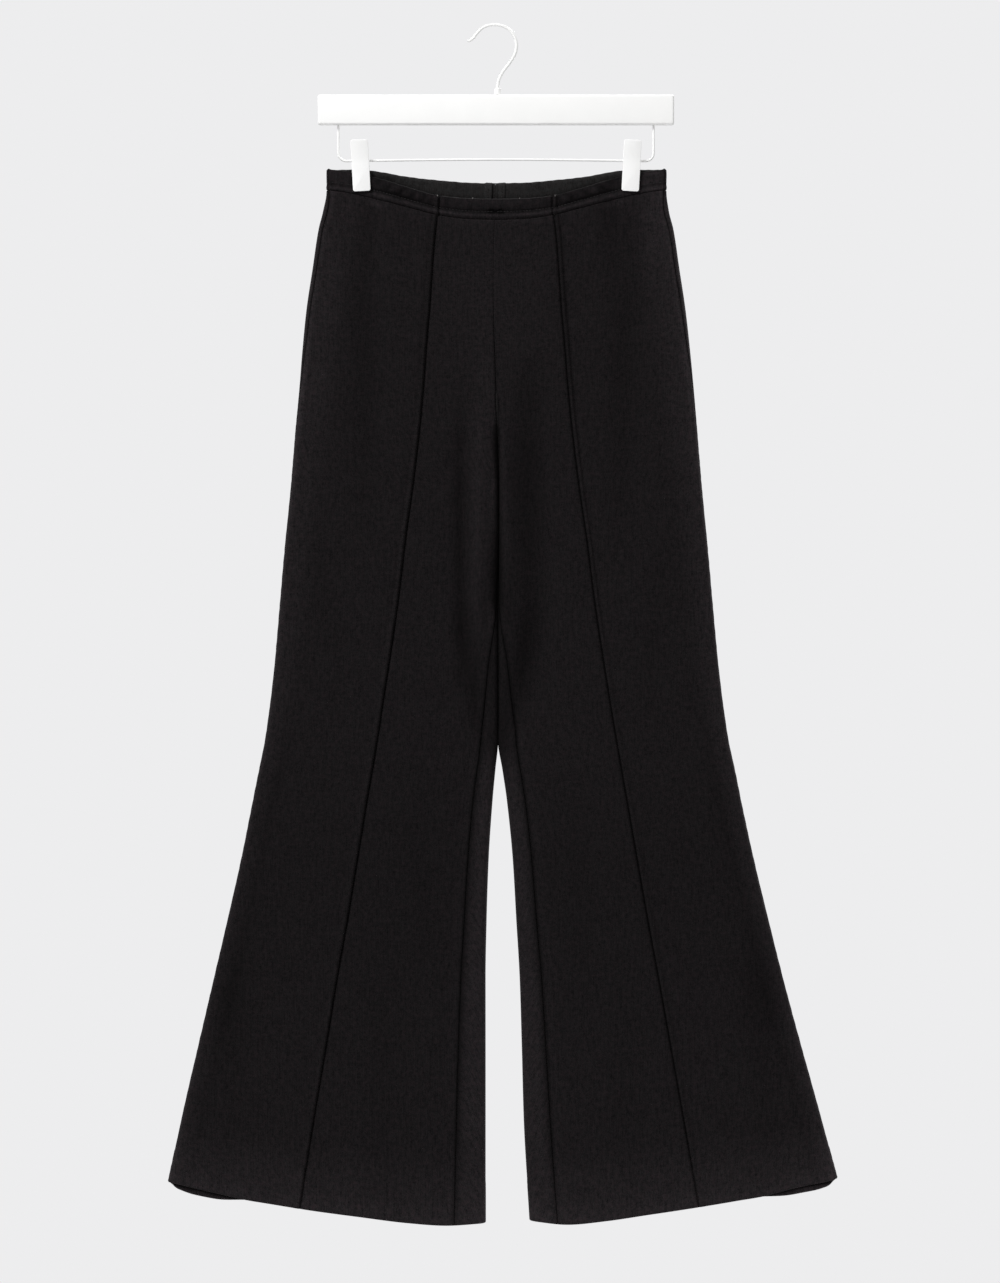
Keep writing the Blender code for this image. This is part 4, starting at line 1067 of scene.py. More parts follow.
def band_relief(layer, x, down, from_tuck, from_side, from_fold):
    """How far the band's outer face stands out: its groove and ridge, puckers, drag lines and pleats."""
    off_centre = np.abs(x)
    lower = SIDE_GROOVE_LOWER * ease((off_centre - SIDE_GROOVE_X) / 20) * ease((BAND_HEIGHT - down) / 3)
    flatter = (1 - 0.75 * near(from_fold, 9)) * (1 - 0.3 * (lower > 0.5))
    relief = smooth(BAND_FACE, "out", down - lower) * flatter
    relief += RIDGE_PUCKER * ripple(1.9 * x + 11) * near(down - RIDGE_DOWN, 2.6)
    relief += BAND_GATHER * ripple(1.15 * x + 4) * near(down - 6, 6)
    if layer == "front":
        relief -= DRAG_DEPTH * near(off_centre - DRAG_X, DRAG_REACH) * near(down - GROOVE_DOWN + 1.0, 2.0)
        relief -= folds(BAND_FOLDS, x, down, 1.0)
        relief += 0.9 * smooth(TUCK, "upper", from_tuck)
        relief -= LOBE_DEPTH * lobes(x, down)
    calm = 1 - pinch(x, down)
    return np.maximum(relief * (0.35 + 0.65 * calm), -DEEPEST) - seam_drop(from_side, 0.7)


# Painted shade (-) and painted highlight (+) on the front band, by the drag lines, the clips and the middle
# of the front.
BAND_MARKS = [Mark(*row) for row in (
    ("front", "both", "off_centre", DRAG_X, DRAG_REACH, GROOVE_DOWN - 1.2, 3.0, -0.38),
    ("front", "both", "off_centre", DRAG_X, DRAG_REACH, 6, 5, -0.12),
    ("front", "both", "off_centre", 115, 9, RIDGE_DOWN, 1.8, 0.45),  # beside the clips
    ("front", "both", "off_centre", 115, 9, GROOVE_DOWN - 1, 1.6, -0.30),
    ("front", "both", "x", 0, 52, 3.5, 3.2, 0.24),  # the middle of the front
    ("front", "both", "x", 0, 34, 13.8, 1.3, -0.28),
    ("front", "both", "off_centre", 50, 42, RIDGE_DOWN + 0.2, 1.1, 0.55),
)]
# Painted shade in the groove, the drag lines, the lobes and the tuck, and painted highlight on the ridge
# and the band's ends.
GROOVE_DARK, RIDGE_LIGHT, BAND_END_LIGHT, RIGHT_END_LIGHT = 0.34, 0.40, 0.5, 0.22
DRAG_DARK, LOBE_DARK, BAND_TUCK_DARK = 0.62, 0.75, 0.35


def band_tone(layer, x, down, from_tuck):
    """The band's tone: painted shade in the groove and hollows, and a painted highlight on the ridge, near
    the clips and at the band's ends.
    """
    off_centre = np.abs(x)
    lower = SIDE_GROOVE_LOWER * ease((off_centre - SIDE_GROOVE_X) / 20)
    tone = marked(BAND_MARKS, layer, "both", {"x": x, "off_centre": off_centre}, down)
    tone -= GROOVE_DARK * near(down - GROOVE_DOWN - lower, 1.7)
    tone += RIDGE_LIGHT * near(down - RIDGE_DOWN - 0.3 - 0.5 * lower, 1.6)
    tone -= (0.22 - 0.72 * near(x, 62)) * near(down - BAND_HEIGHT, 0.9)
    tone += BAND_END_LIGHT * ease((off_centre - 142) / 8)
    if layer == "front":
        tone -= DRAG_DARK * np.clip(folds(BAND_FOLDS, x, down, 1.0), -0.5, 1)
        tone -= LOBE_DARK * np.minimum(lobes(x, down) * 1.6, 1)
        tone += RIGHT_END_LIGHT * ease((x - 70) / 30)
        tone -= BAND_TUCK_DARK * near(from_tuck + 0.5, 1.1)
        tone -= (0.15 + 0.25 * ease((off_centre - 40) / 30)) * near(down, 1.6)
    return np.maximum(tone, -0.9)


def allowance(x, centre):
    """1 on the two seam allowances that are stitched down inside the centre back."""
    off = np.abs(x - centre)
    raised = ease((ALLOWANCE_EDGE - off) / 0.9) * ease((off - ALLOWANCE_FOLD + 0.8) / 0.8)
    return raised * (1 - 0.75 * near(off - ALLOWANCE_STITCH, 0.55))


def inner_tone(section, points, from_centre, flaps):
    """The back band's inner tone: painted light along its fold and on the stitched allowances, painted
    shade where they end at the seam, and a painted shadow where the front band's edge stands before it."""
    width = abs(section.x_out - section.x_in)
    front_dip = smooth(WAIST_DIPS, "front_top", np.abs(points[:, 0] - section.x_in) / width)
    above = points[:, 2] + WAIST_DROP + front_dip
    seam = 0.9 if section.side == "left" else 0.45
    tone = 0.22 * flaps + 0.18 * near(from_centre, 1.2) - seam * near(from_centre - 2.4, 0.8)
    return tone + 0.4 * near(section.down - 0.8, 2.2) - 0.36 * near(above - 0.8, 3.0)


def band_part(layer, side, row):
    """One row of half of the waistband: its points, outward directions, places along it and tone."""
    section = Section(side, row.down)
    places = band_front_places(section) if layer == "front" else band_back_places(section)
    points, out = section.at(places)
    x = points[:, 0]
    from_side = np.abs(places - section.side_seam) - SEAM_GAP / 2
    from_tuck = places - section.tuck + TUCK_SHIFT
    face = band_relief(layer, x, row.down, from_tuck, from_side, places - section.side_fold)
    tone = band_tone(layer, x, row.down, from_tuck) * row.outer
    top = math.sin(math.pi * row.outer) if row.outer < 1 else 0.0
    reverse = 0.05 * ripple(0.9 * x + 3)
    lift = EDGE_RIPPLE * ripple(0.7 * x + 2) + END_LIFT * near(from_side, 2.4)
    if layer == "back":
        flaps = allowance(x, smooth(LEVELS, side + "_in", row.down))
        reverse = reverse + ALLOWANCE_RISE * flaps
        from_centre = section.back_end - places
        face -= seam_drop(from_centre, 0.7)
        lift = lift + FLAP_LIFT * flaps
        # The back band's fold gets a painted highlight along its top.
        tone = tone + inner_tone(section, points, from_centre, flaps) * (1 - row.outer) + 0.3 * top
    else:
        lift = lift + 0.5 * smooth(TUCK, "upper", from_tuck)
        # The front band's lit fold is painted darker away from the middle.
        tone = tone - 0.5 * top * ease((np.abs(x) - 45) / 25)
    points = points + out * (face * row.outer - reverse * (1 - row.outer) - row.inside)[:, None]
    points[:, 2] += lift * top
    return points, out, places, tone


def band_strip(name, layer, sides):
    """One piece of the waistband: up its inner face, over the fold, and down its outer face."""
    grid, across, tones = [], [], []
    for row in BAND_ROWS:
        points, out, places, tone = band_part(layer, sides[-1], row)
        if layer == "front":
            left, out, left_places, left_tone = band_part(layer, sides[0], row)
            points = np.concatenate([left[::-1], points[1:]])
            places = np.concatenate([-left_places[::-1], places[1:]])
            tone = np.concatenate([left_tone[::-1], tone[1:]])
        grid.append(points)
        across.append(places)
        tones.append(tone)
    lengths = [0.0]
    for row, after in zip(BAND_ROWS, BAND_ROWS[1:]):
        lengths.append(lengths[-1] + math.hypot(after.down - row.down, after.inside - row.inside))
    reverse = [1 if row.outer < 0.8 else 0 for row in BAND_ROWS[:-1]]
    turned = sides == ["left"]
    materials = [knit_face, knit_reverse]
    piece = cloth_shell(name, grid, across, lengths, CASING_KNIT, turned, materials, reverse, tones)
    widths = [places[-1] - places[0] for places in across]
    return piece, (max(widths) * MM, lengths[-1] * MM), cut_area(widths, lengths)


# ---------- Thread ----------
# Black spun polyester sewing thread: a lockstitch in the band's groove and along the allowances inside the
# centre back. Four grey bar tacks on the front band's edge hold its fold.
STITCH_LONG, STITCH_PITCH, THREAD_THICK = 2.4, 3.2, 0.42
TACK_LONG, TACK_THICK = 1.6, 1.0
FROM_SEAM = 2.0  # a stitched line starts and ends this far from the seam
ALLOWANCE_SEWN, SHORT_FIRST, SHORT_PITCH, SHORT_LONG = 6.9, 2.2, 2.7, 0.8 * STITCH_LONG
TWIST_MM = 0.5
Tack = namedtuple("Tack", "x down")
TACKS = [Tack(-58.4, 0.9), Tack(-23.3, 0.1), Tack(23.6, 0.1), Tack(59.0, 0.9)]
CAPSULE = ((0.0, 0.25), (0.08, 0.7), (0.2, 1.0), (0.5, 1.1), (0.8, 1.0), (0.92, 0.7), (1.0, 0.25))


def spun_thread(name, dark, light):
    """Twisted fibres: a dull colour with fine slanting light and dark along the thread."""
    material, tree, shader = start_material(name)
    spot = add(tree, "TexCoord")
    twist = add(
        tree, "TexWave", {"Scale": wave_scale(TWIST_MM), "Distortion": 1.5},
        {"Vector": spot.outputs["Object"]}, wave_type="BANDS", bands_direction="DIAGONAL",
    )
    shade = add(
        tree, "MixRGB", {"Color1": linear(dark), "Color2": linear(light)}, {"Fac": twist.outputs["Fac"]},
    )
    tree.links.new(shade.outputs["Color"], shader.inputs["Base Color"])
    relief = add(tree, "Bump", {"Strength": 0.4, "Distance": 0.1 * MM}, {"Height": twist.outputs["Fac"]})
    tree.links.new(relief.outputs["Normal"], shader.inputs["Normal"])
    shader.inputs["Roughness"].default_value = 0.62
    shader.inputs["Specular IOR Level"].default_value = 0.3
    return material


black_thread = spun_thread("black_spun_polyester", "141213", "2b2829")
grey_thread = spun_thread("grey_spun_polyester", "3c3938", "6b6866")


def round_run(route, radii, sides, across):
    """The points and faces of a round wire or thread on a route in mm, where across never lies along it."""
    route = np.asarray(route, float)
    ahead = np.gradient(route, axis=0)
    ahead /= np.linalg.norm(ahead, axis=1)[:, None]
    flat = np.cross(np.broadcast_to(across, ahead.shape), ahead)
    flat /= np.linalg.norm(flat, axis=1)[:, None]
    up = np.cross(ahead, flat)
    angles = 2 * math.pi * np.arange(sides) / sides
    rings = [
        at + radius * (np.cos(angles)[:, None] * f + np.sin(angles)[:, None] * u)
        for at, radius, f, u in zip(route, radii, flat, up)
    ]
    faces = [
        (r * sides + k, r * sides + (k + 1) % sides, (r + 1) * sides + (k + 1) % sides, (r + 1) * sides + k)
        for r in range(len(route) - 1) for k in range(sides)
    ]
    faces.append(tuple(range(sides))[::-1])
    faces.append(tuple(range((len(route) - 1) * sides, len(route) * sides)))
    return np.concatenate(rings), faces


def plain_mesh(name, points, faces, material):
    """A smooth mesh from points in mm."""
    mesh = bpy.data.meshes.new(name)
    mesh.from_pydata((np.asarray(points) * MM).tolist(), [], faces)
    mesh.materials.append(material)
    mesh.shade_smooth()
    return mesh


def stitches(name, starts, ends, thick, material):
    """Short rounded threads from each start to its end, as one piece."""
    points, faces, count = [], [], 0
    for start, end in zip(starts, ends):
        route = [start + (end - start) * share for share, _ in CAPSULE]
        ring, sides = round_run(route, [thick / 2 * wide for _, wide in CAPSULE], 6, (0.31, 0.87, 0.39))
        points.append(ring)
        faces += [tuple(k + count for k in face) for face in sides]
        count += len(ring)
    points = np.concatenate(points)
    points[:, 0] += GARMENT_X
    piece = place(name, plain_mesh(name, points, faces, material))
    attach(piece, "root")
    return piece


def stitched_line(name, layer, sides):
    """The lockstitch in the band's groove, round the stretch of the waistband that one strip covers."""
    starts, ends = [], []
    row = BandRow(GROOVE_DOWN, 0.0, 1.0)
    for side in sides:
        points, out, places, _ = band_part(layer, side, row)
        from_start = np.abs(places - places[0])
        reach = from_start[-1] - FROM_SEAM
        at = np.arange(FROM_SEAM, reach - STITCH_LONG, STITCH_PITCH)
        raised = points + out * (0.3 * THREAD_THICK)
        for where, made in ((at, starts), (at + STITCH_LONG, ends)):
            made.append(np.column_stack([np.interp(where, from_start, raised[:, k]) for k in range(3)]))
    return stitches(name, np.concatenate(starts), np.concatenate(ends), THREAD_THICK, black_thread)


front_stitch = stitched_line("band_front_stitching", "front", ["left", "right"])
tack_starts, tack_ends = [], []
for tack in TACKS:
    points, out, _, _ = band_part("front", "left" if tack.x < 0 else "right", BandRow(tack.down, 0.0, 1.0))
    points = points + out * 0.25 * TACK_THICK
    middle = np.array([np.interp(abs(tack.x), np.abs(points[:, 0]), points[:, k]) for k in range(3)])
    tack_starts.append(middle + (0, 0, TACK_LONG / 2))
    tack_ends.append(middle - (0, 0, TACK_LONG / 2))
tacks = stitches("band_tacks", tack_starts, tack_ends, TACK_THICK, grey_thread)


def allowance_stitches(side):
    """The short stitches that hold the centre back's seam allowance down, inside the band."""
    starts, ends = [], []
    for top in np.arange(SHORT_FIRST, BAND_HEIGHT - STITCH_LONG, SHORT_PITCH):
        for down, made in ((top, starts), (top + SHORT_LONG, ends)):
            row = BandRow(down, CASING + 0.3 * THREAD_THICK, 0.0)
            points, out, places, _ = band_part("back", side, row)
            from_centre = places[-1] - places[::-1]
            made.append([np.interp(ALLOWANCE_SEWN, from_centre, points[::-1, k]) for k in range(3)])
    name = f"allowance_{side}_stitching"
    return stitches(name, np.array(starts), np.array(ends), THREAD_THICK, black_thread)


band, flat, area = band_strip("waistband_front_cloth", "front", ["left", "right"])
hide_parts("waistband_front")
for side in ("left", "right"):
    thread = stitched_line(f"band_back_{side}_stitching", "back", [side])
    band, flat, area = band_strip(f"waistband_back_{side}_cloth", "back", [side])
    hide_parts(f"waistband_back_{side}")
    allowance_stitches(side)

# ---------- Seam allowances ----------
# Inside, the rise seam and the seat seam are pressed open, so a strip of the knit's reverse backs each from
# the band to the crotch.
ALLOWANCE_WIDE, ALLOWANCE_THICK = 9.0, 0.8
ALLOWANCE_UNDER = CLOTH_THICK + 0.25
STRIP_ROWS, STRIP_COLUMNS = 120, 8
for layer in ("front", "back"):
    grid, across, lengths = [], [], []
    top = BODY_TOP - 4 if layer == "front" else FOLD_OVER
    for down in np.linspace(top, CROTCH_DOWN - 1, STRIP_ROWS):
        halves = []
        for side in ("left", "right"):
            section = Section(side, down)
            places = np.linspace(0.0, ALLOWANCE_WIDE, STRIP_COLUMNS)
            points, out = section.at(places if layer == "front" else section.back_end - places)
            halves.append(points - out * ALLOWANCE_UNDER)
        grid.append(np.concatenate([halves[0][::-1], halves[1]]))
        across.append(np.concatenate([-places[::-1], places]))
        lengths.append(down)
    name = {"front": "rise", "back": "seat"}[layer] + "_seam_allowance"
    strip = cloth_shell(name, grid, across, lengths, ALLOWANCE_THICK, layer == "back", [knit_reverse])
    flat = (2 * ALLOWANCE_WIDE * MM, (lengths[-1] - lengths[0]) * MM)

# ---------- Hanger's bar ----------
# A straight beech bar, planed, eased along its edges, primed and sprayed with white satin lacquer. It is
# bored from above for the hook and from below for the rail.
BAR_LONG, BAR_DEEP, BAR_HIGH = 356.0, 12.0, 30.0
BAR_TOP = -68.9
BAR_BOTTOM = BAR_TOP - BAR_HIGH
BAR_EDGE = 2.2
BORE_CLEAR = 0.3
HOOK_BORE, RAIL_BORE, DRILL_OUT = 20.0, 14.0, 4.0  # the bores' depths, and how far the drill stands out
CLOUD_MM = 22.0
PART_GAP = 0.3  # pieces that touch are drawn this far apart
HOOK_X, RAIL_X = 3.2, (-156.2, 159.1)
HOOK_WIRE, RAIL_WIRE = 3.0, 2.3


def sprayed_paint(name, colour, cloudy_tint, roughness, peel_mm, peel, coat):
    """A sprayed coat: an almost even colour with the slight orange peel and soft gloss of spraying."""
    material, tree, shader = start_material(name)
    spot = add(tree, "TexCoord")
    vector = {"Vector": spot.outputs["Object"]}
    cloud = add(tree, "TexNoise", {"Scale": 1 / (CLOUD_MM * MM), "Detail": 4.0}, vector)
    drops = add(tree, "TexNoise", {"Scale": 1 / (peel_mm * MM), "Detail": 2.0, "Roughness": 0.4}, vector)
    tint = add(
        tree, "MixRGB", {"Color1": linear(cloudy_tint), "Color2": linear(colour)}, {"Fac": cloud.outputs["Fac"]},
    )
    tree.links.new(tint.outputs["Color"], shader.inputs["Base Color"])
    satin = add(
        tree, "MapRange", {"To Min": roughness - 0.05, "To Max": roughness + 0.06},
        {"Value": cloud.outputs["Fac"]},
    )
    tree.links.new(satin.outputs["Result"], shader.inputs["Roughness"])
    relief = add(tree, "Bump", {"Strength": peel, "Distance": 0.05 * MM}, {"Height": drops.outputs["Fac"]})
    tree.links.new(relief.outputs["Normal"], shader.inputs["Normal"])
    shader.inputs["IOR"].default_value = 1.5
    shader.inputs["Coat Weight"].default_value = coat
    shader.inputs["Coat Roughness"].default_value = 0.18
    return material


lacquer = sprayed_paint("white_satin_lacquer", "fbfbfa", "f6f6f5", 0.36, 1.6, 0.25, 0.15)
enamel = sprayed_paint("white_stoved_enamel", "fafaf9", "f4f4f3", 0.28, 0.7, 0.2, 0.3)


def whole_piece(name, data, body_slot, *nodes):
    """Places a finished piece that stands for solids of the hanger."""
    piece = place(name, data)
    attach(piece, "root")
    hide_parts(*nodes)
    return piece


def drill(target, x, top, bottom, radius):
    """Adds an upright round hole to a piece between two heights, and returns the cutter."""
    shape = bmesh.new()
    bmesh.ops.create_cone(
        shape, cap_ends=True, segments=32, radius1=radius * MM, radius2=radius * MM,
        depth=(top - bottom) * MM, matrix=Matrix.Translation(Vector((x, 0, (top + bottom) / 2)) * MM),
    )
    cutter = place("drill", finish_mesh("drill", shape))
    cut = target.modifiers.new("bore", "BOOLEAN")
    cut.operation = "DIFFERENCE"
    cut.object = cutter
    return cutter


shape = bmesh.new()
bmesh.ops.create_cube(shape, size=1)
bmesh.ops.scale(shape, vec=Vector((BAR_LONG, BAR_DEEP, BAR_HIGH)) * MM, verts=shape.verts)
bmesh.ops.translate(shape, vec=Vector((GARMENT_X, 0, BAR_TOP - BAR_HIGH / 2)) * MM, verts=shape.verts)
bmesh.ops.bevel(shape, geom=shape.edges[:], offset=BAR_EDGE * MM, segments=6, profile=0.5, affect="EDGES")
bar = whole_piece("bar_lacquered", finish_mesh("bar", shape, lacquer), "bar", "hanger_bar")
hook_radius, rail_radius = HOOK_WIRE / 2 + BORE_CLEAR, RAIL_WIRE / 2 + BORE_CLEAR
cutters = [drill(bar, HOOK_X, BAR_TOP + DRILL_OUT, BAR_TOP - HOOK_BORE, hook_radius)]
cutters += [drill(bar, x, BAR_BOTTOM + RAIL_BORE, BAR_BOTTOM - DRILL_OUT, rail_radius) for x in RAIL_X]
bpy.context.view_layer.update()
bored = bpy.data.meshes.new_from_object(bar.evaluated_get(bpy.context.evaluated_depsgraph_get()))
bar.modifiers.clear()
bar.data = bored
for cutter in cutters:
    bpy.data.objects.remove(cutter)
bored.shade_smooth()
bored.set_sharp_from_angle(angle=math.radians(35))

# ---------- Hook, collar and rail ----------
# Cold-drawn steel wire, bent in a jig and enamelled white: the hook with its stem in the bar and a turned
# collar where it enters, and a lighter rail under the bar that the clips ride on.
ENAMEL_SIDES = 24
TIP_STEPS = 7
HOOK_ROUTE = [
    (-27.0, -15.6), (-21.5, -12.2), (-17.0, -6.4), (-10.4, -0.9), (0.0, HOOK_WIRE / 2),
    (11.0, -1.0), (18.0, -7.2), (21.6, -15.6), (21.8, -22.4), (19.6, -29.6),
    (14.2, -38.0), (8.4, -45.6), (4.6, -53.0), (HOOK_X, -60.0),
]
HOOK_INSET = 18.0
COLLAR_WIDE, COLLAR_HIGH, COLLAR_CHAMFER = 6.4, 6.5, 0.8
RAIL_DROP, RAIL_BOW, RAIL_BEND, RAIL_INSET = 135.0, 1.5, 8.0, 12.0
RAIL_STEPS = 60


def through(points, per_span):
    """A smooth curve through a few points, with that many steps between each two."""
    points = np.array(points, float)
    ends = np.concatenate([[2 * points[0] - points[1]], points, [2 * points[-1] - points[-2]]])
    curve = []
    for a, b, c, d in zip(ends, ends[1:], ends[2:], ends[3:]):
        for t in np.arange(per_span) / per_span:
            bend = (2 * a - 5 * b + 4 * c - d) * t**2 + (3 * b - a - 3 * c + d) * t**3
            curve.append((2 * b + (c - a) * t + bend) / 2)
    return np.array([*curve, points[-1]])


hook_line = np.concatenate([through(HOOK_ROUTE, 10), [(HOOK_X, BAR_TOP), (HOOK_X, BAR_TOP - HOOK_INSET)]])
ahead = (hook_line[0] - hook_line[1]) / np.linalg.norm(hook_line[0] - hook_line[1])
tip_angles = np.linspace(math.radians(84), 0, TIP_STEPS)
inset = HOOK_WIRE / 2  # the rounded tip ends where the wire does
hook_line[0] -= ahead * inset
tip = [hook_line[0] + ahead * inset * math.sin(a) for a in tip_angles]
hook_route = [(x, 0, z) for x, z in [*tip[:-1], *hook_line]]
hook_radii = [HOOK_WIRE / 2 * math.cos(a) for a in tip_angles[:-1]] + [HOOK_WIRE / 2] * len(hook_line)
points, faces = round_run(hook_route, hook_radii, ENAMEL_SIDES, (0, 1, 0))
whole_piece("hook_enamelled", plain_mesh("hook", points, faces, enamel), "wire", "hanger_hook")

inner, outer, bottom = HOOK_WIRE / 2 + BORE_CLEAR, COLLAR_WIDE / 2, BAR_TOP + PART_GAP
rounding = [
    (outer - COLLAR_CHAMFER * (1 - math.cos(a)), bottom + COLLAR_HIGH - COLLAR_CHAMFER * (1 - math.sin(a)))
    for a in np.linspace(0, math.pi / 2, 6)
]
profile = [
    (inner, bottom), (outer - 0.2, bottom), (outer, bottom + 0.2), *rounding, (inner, bottom + COLLAR_HIGH),
]
turned, faces, steps, size = [], [], 40, len(profile)
for step in range(steps):
    angle = 2 * math.pi * step / steps
    turned += [(HOOK_X + r * math.cos(angle), r * math.sin(angle), z) for r, z in profile]
    here, after = step * size, (step + 1) % steps * size
    faces += [(here + k, after + k, after + (k + 1) % size, here + (k + 1) % size) for k in range(size)]
mesh = plain_mesh("collar", turned, faces, enamel)
mesh.set_sharp_from_angle(angle=math.radians(40))
whole_piece("collar_enamelled", mesh, "wire", "hook_collar")

rail_middle, rail_half = sum(RAIL_X) / 2, (RAIL_X[1] - RAIL_X[0]) / 2
quarter_turn = np.linspace(0, math.pi / 2, 13)
half_rail = [(RAIL_X[0], BAR_BOTTOM + RAIL_INSET), (RAIL_X[0], BAR_BOTTOM)]
half_rail += [
    (RAIL_X[0] + RAIL_BEND * (1 - math.cos(a)), -RAIL_DROP + RAIL_BEND * (1 - math.sin(a)))
    for a in quarter_turn
]
reach = rail_half - RAIL_BEND
level = [
    (rail_middle - reach + 2 * reach * share, -RAIL_DROP + RAIL_BOW * math.sin(math.pi * share))
    for share in np.arange(1, RAIL_STEPS) / RAIL_STEPS
]
rail_line = [*half_rail, *level, *[(2 * rail_middle - x, z) for x, z in half_rail[::-1]]]
rail_route = [(x, 0, z) for x, z in rail_line]
points, faces = round_run(rail_route, [RAIL_WIRE / 2] * len(rail_route), ENAMEL_SIDES, (0, 1, 0))
whole_piece("rail_enamelled", plain_mesh("rail", points, faces, enamel), "wire", "hanger_rail")

# ---------- Clips ----------
# Two jaws each, injection moulded in white ABS with a plain satin face and rounded corners, ribbed inside
# the tips. They pivot on the rail's wire, and a leaf of blue-white spring steel between the grips keeps
# them shut.
CLIP_WIDE, CLIP_HIGH, CLIP_CORNER = 17.5, 51.3, 2.2
CLIP_GRIP, CLIP_RISE = 20.7, 0.2
CLIP_LEAN = math.radians(3.1)
CLIP_X = {"left": -134.2, "right": 137.2}
JAW_INNER, JAW_PLATE, JAW_TIP = 3.6, 2.4, 1.9
GRIP_STEP, GRIP_SPLAY = 0.4, 3.4
BOSS_HIGH, BOSS_BORE = 6.4, 1.95
MOULD_EDGE = 0.35
TEETH, TOOTH_PITCH, TOOTH_HIGH, HALF_TOOTH, TOOTH_ROOT = 5, 2.6, 0.45, 0.9, 0.3
FIRST_TOOTH, TOOTH_SHORT = 2.4, 3.0  # above the jaw's tip, and how much narrower than the jaw
SPARK_MM, FLOW_MM = 0.35, 14.0  # the mould's spark finish, and the cloudy flow of the plastic
LEAF_WIDE, LEAF_THICK = 8.0, 0.8
ROLLED_MM, ROLLED_LONG_MM = 0.12, 6.0
LEAF_HALF = [(0.0, 3.9), (2.1, 4.7), (3.2, 7.4), (4.3, 12.0), (5.2, 17.8)]

moulded, tree, shader = start_material("white_moulded_abs")
spot = add(tree, "TexCoord")
vector = {"Vector": spot.outputs["Object"]}
spark = add(tree, "TexNoise", {"Scale": 1 / (SPARK_MM * MM), "Detail": 3.0}, vector)
flow = add(tree, "TexNoise", {"Scale": 1 / (FLOW_MM * MM), "Detail": 2.0}, vector)
tint = add(
    tree, "MixRGB", {"Color1": linear("f5f5f4"), "Color2": linear("fbfbfb")}, {"Fac": flow.outputs["Fac"]},
)
tree.links.new(tint.outputs["Color"], shader.inputs["Base Color"])
relief = add(tree, "Bump", {"Strength": 0.2, "Distance": 0.04 * MM}, {"Height": spark.outputs["Fac"]})
tree.links.new(relief.outputs["Normal"], shader.inputs["Normal"])
satin = add(tree, "MapRange", {"To Min": 0.36, "To Max": 0.48}, {"Value": flow.outputs["Fac"]})
tree.links.new(satin.outputs["Result"], shader.inputs["Roughness"])
shader.inputs["IOR"].default_value = 1.53

spring_steel, tree, shader = start_material("rolled_spring_steel")
spot = add(tree, "TexCoord")
along = 1 / (ROLLED_LONG_MM * MM)
drawn = add(
    tree, "VectorMath", {1: (1 / (ROLLED_MM * MM), along, along)}, {0: spot.outputs["Object"]},
    operation="MULTIPLY",
)
lines = add(tree, "TexNoise", {"Scale": 1.0, "Detail": 3.0}, {"Vector": drawn.outputs["Vector"]})
tint = add(
    tree, "MixRGB", {"Color1": linear("a3a5a9"), "Color2": linear("c4c5c7")}, {"Fac": lines.outputs["Fac"]},
)
tree.links.new(tint.outputs["Color"], shader.inputs["Base Color"])
rolled = add(tree, "MapRange", {"To Min": 0.24, "To Max": 0.4}, {"Value": lines.outputs["Fac"]})
tree.links.new(rolled.outputs["Result"], shader.inputs["Roughness"])
shader.inputs["Metallic"].default_value = 1.0


def prism(shape, outline, wide):
    """Adds a closed outline of (y, z) points in mm to the shape, made as wide as asked along X."""
    ring = [shape.verts.new((-wide / 2 * MM, y * MM, z * MM)) for y, z in outline]
    face = shape.faces.new(ring)
    moved = bmesh.ops.extrude_face_region(shape, geom=[face])
    ends = [item for item in moved["geom"] if isinstance(item, bmesh.types.BMVert)]
    bmesh.ops.translate(shape, vec=(wide * MM, 0, 0), verts=ends)
    return ring + ends


def round_plate_corners(shape):
    """Rounds the plate's four corners, as seen from the front."""
    heights = [corner.co.z for corner in shape.verts]
    hair = 0.01 * MM
    corners = []
    for edge in shape.edges:
        a, b = (corner.co for corner in edge.verts)
        runs_back = abs(a.x - b.x) < hair and abs(a.z - b.z) < hair
        if runs_back and (a.z < min(heights) + hair or a.z > max(heights) - hair):
            corners.append(edge)
    bmesh.ops.bevel(shape, geom=corners, offset=CLIP_CORNER * MM, segments=8, profile=0.5, affect="EDGES")


def jaw_outline(facing):
    """Side view of one jaw: its plate, the splayed grip above the rail, and the half boss on the wire."""
    bottom, top, half_boss, half_gap = CLIP_GRIP - CLIP_HIGH, CLIP_GRIP, BOSS_HIGH / 2, PART_GAP / 2
    start = math.asin(half_gap / BOSS_BORE)
    turns = np.linspace(start, math.pi - start, 17)
    outline = [
        (JAW_INNER, bottom), (JAW_INNER, -half_boss), (half_gap, -half_boss),
        *[(BOSS_BORE * math.sin(a), -BOSS_BORE * math.cos(a)) for a in turns],
        (half_gap, half_boss), (JAW_INNER + GRIP_STEP, half_boss), (JAW_INNER + GRIP_SPLAY, top),
        (JAW_INNER + GRIP_SPLAY + JAW_PLATE, top), (JAW_INNER + JAW_PLATE + GRIP_STEP, half_boss),
        (JAW_INNER + JAW_PLATE, -half_boss), (JAW_INNER + JAW_TIP, bottom),
    ]
    return [(facing * y, z) for y, z in outline]


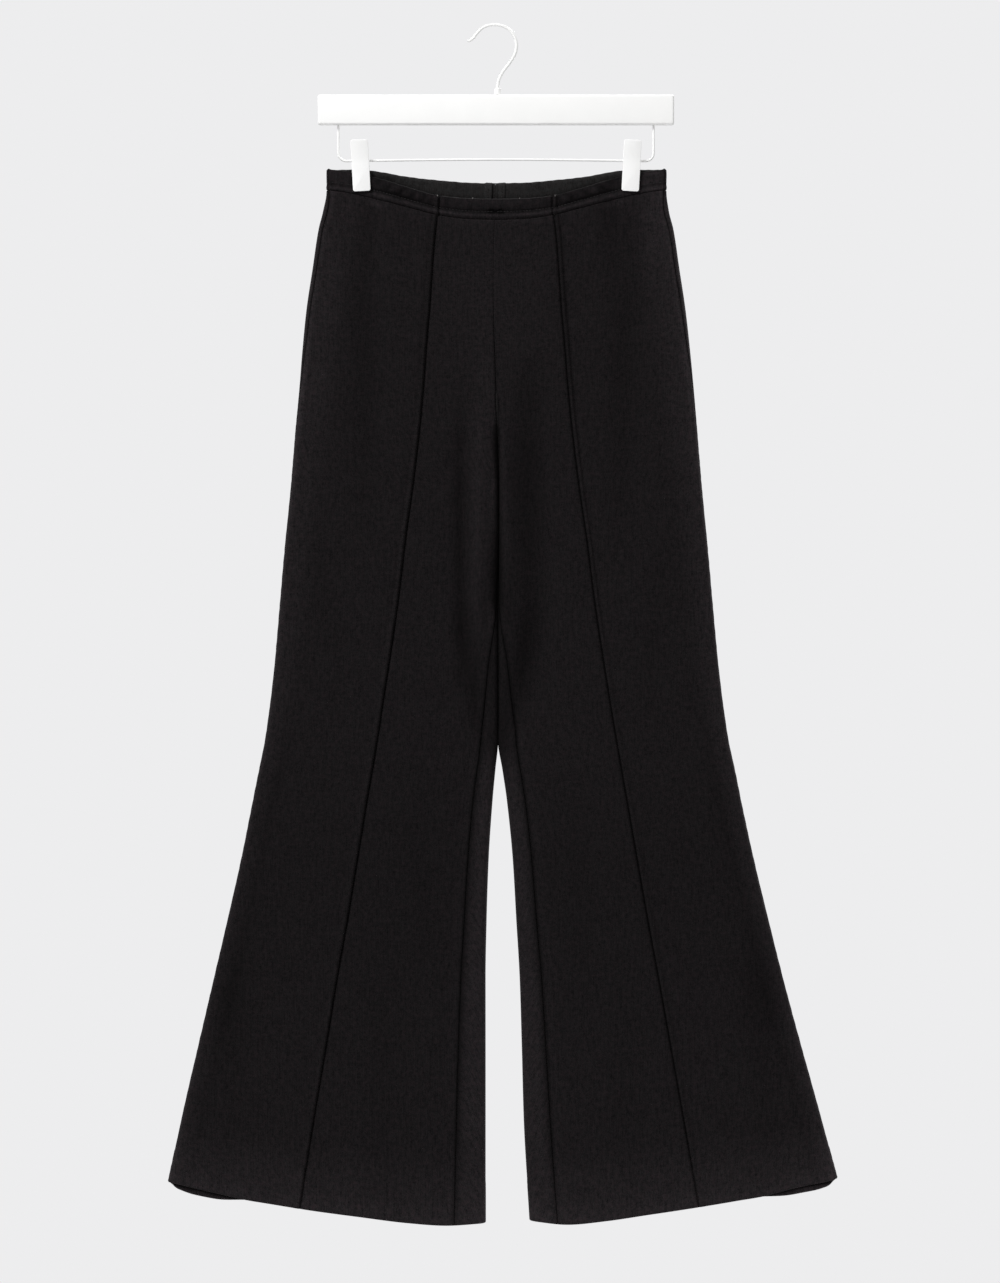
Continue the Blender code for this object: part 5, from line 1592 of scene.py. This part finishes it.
def clip_piece(name, shape, seat, material, body_slot, node):
    """Sets a clip's piece on the rail, leaning as it hangs."""
    bmesh.ops.recalc_face_normals(shape, faces=shape.faces)
    bmesh.ops.transform(shape, matrix=seat, verts=shape.verts)
    mesh = finish_mesh(name, shape, material)
    mesh.shade_smooth()
    mesh.set_sharp_from_angle(angle=math.radians(50))
    return whole_piece(name, mesh, body_slot, node)


for side in ("left", "right"):
    seat = Matrix.Translation(Vector((CLIP_X[side], 0, -RAIL_DROP + CLIP_RISE)) * MM)
    seat = seat @ Matrix.Rotation(SIGN[side] * CLIP_LEAN, 4, "Y")
    for layer, facing in (("front", -1), ("back", 1)):
        shape = bmesh.new()
        prism(shape, jaw_outline(facing), CLIP_WIDE)
        round_plate_corners(shape)
        bmesh.ops.recalc_face_normals(shape, faces=shape.faces)
        sharp = [edge for edge in shape.edges if edge.calc_face_angle(0) > math.radians(50)]
        bmesh.ops.bevel(
            shape, geom=sharp, offset=MOULD_EDGE * MM, segments=3, profile=0.5, affect="EDGES",
            clamp_overlap=True,
        )
        for tooth in range(TEETH):
            z = CLIP_GRIP - CLIP_HIGH + FIRST_TOOTH + TOOTH_PITCH * tooth
            y = facing * JAW_INNER
            ridge = [(y + facing * TOOTH_ROOT, z - HALF_TOOTH), (y + facing * TOOTH_ROOT, z + HALF_TOOTH)]
            ridge += [
                (y - facing * TOOTH_HIGH * math.sin(a), z + HALF_TOOTH * math.cos(a))
                for a in np.linspace(0, math.pi, 7)
            ]
            prism(shape, ridge, CLIP_WIDE - TOOTH_SHORT)
        clip_piece(f"clip_{side}_{layer}_moulding", shape, seat, moulded, "clip", f"clip_{side}_{layer}")
    leaf = through([(-y, z) for y, z in LEAF_HALF[:0:-1]] + LEAF_HALF, 6)
    ahead = np.gradient(leaf, axis=0)
    ahead /= np.linalg.norm(ahead, axis=1)[:, None]
    sideways = np.column_stack([-ahead[:, 1], ahead[:, 0]]) * LEAF_THICK / 2
    shape = bmesh.new()
    prism(shape, [*(leaf + sideways), *(leaf - sideways)[::-1]], LEAF_WIDE)
    clip_piece(f"clip_{side}_leaf_spring", shape, seat, spring_steel, "spring", f"clip_{side}_spring")
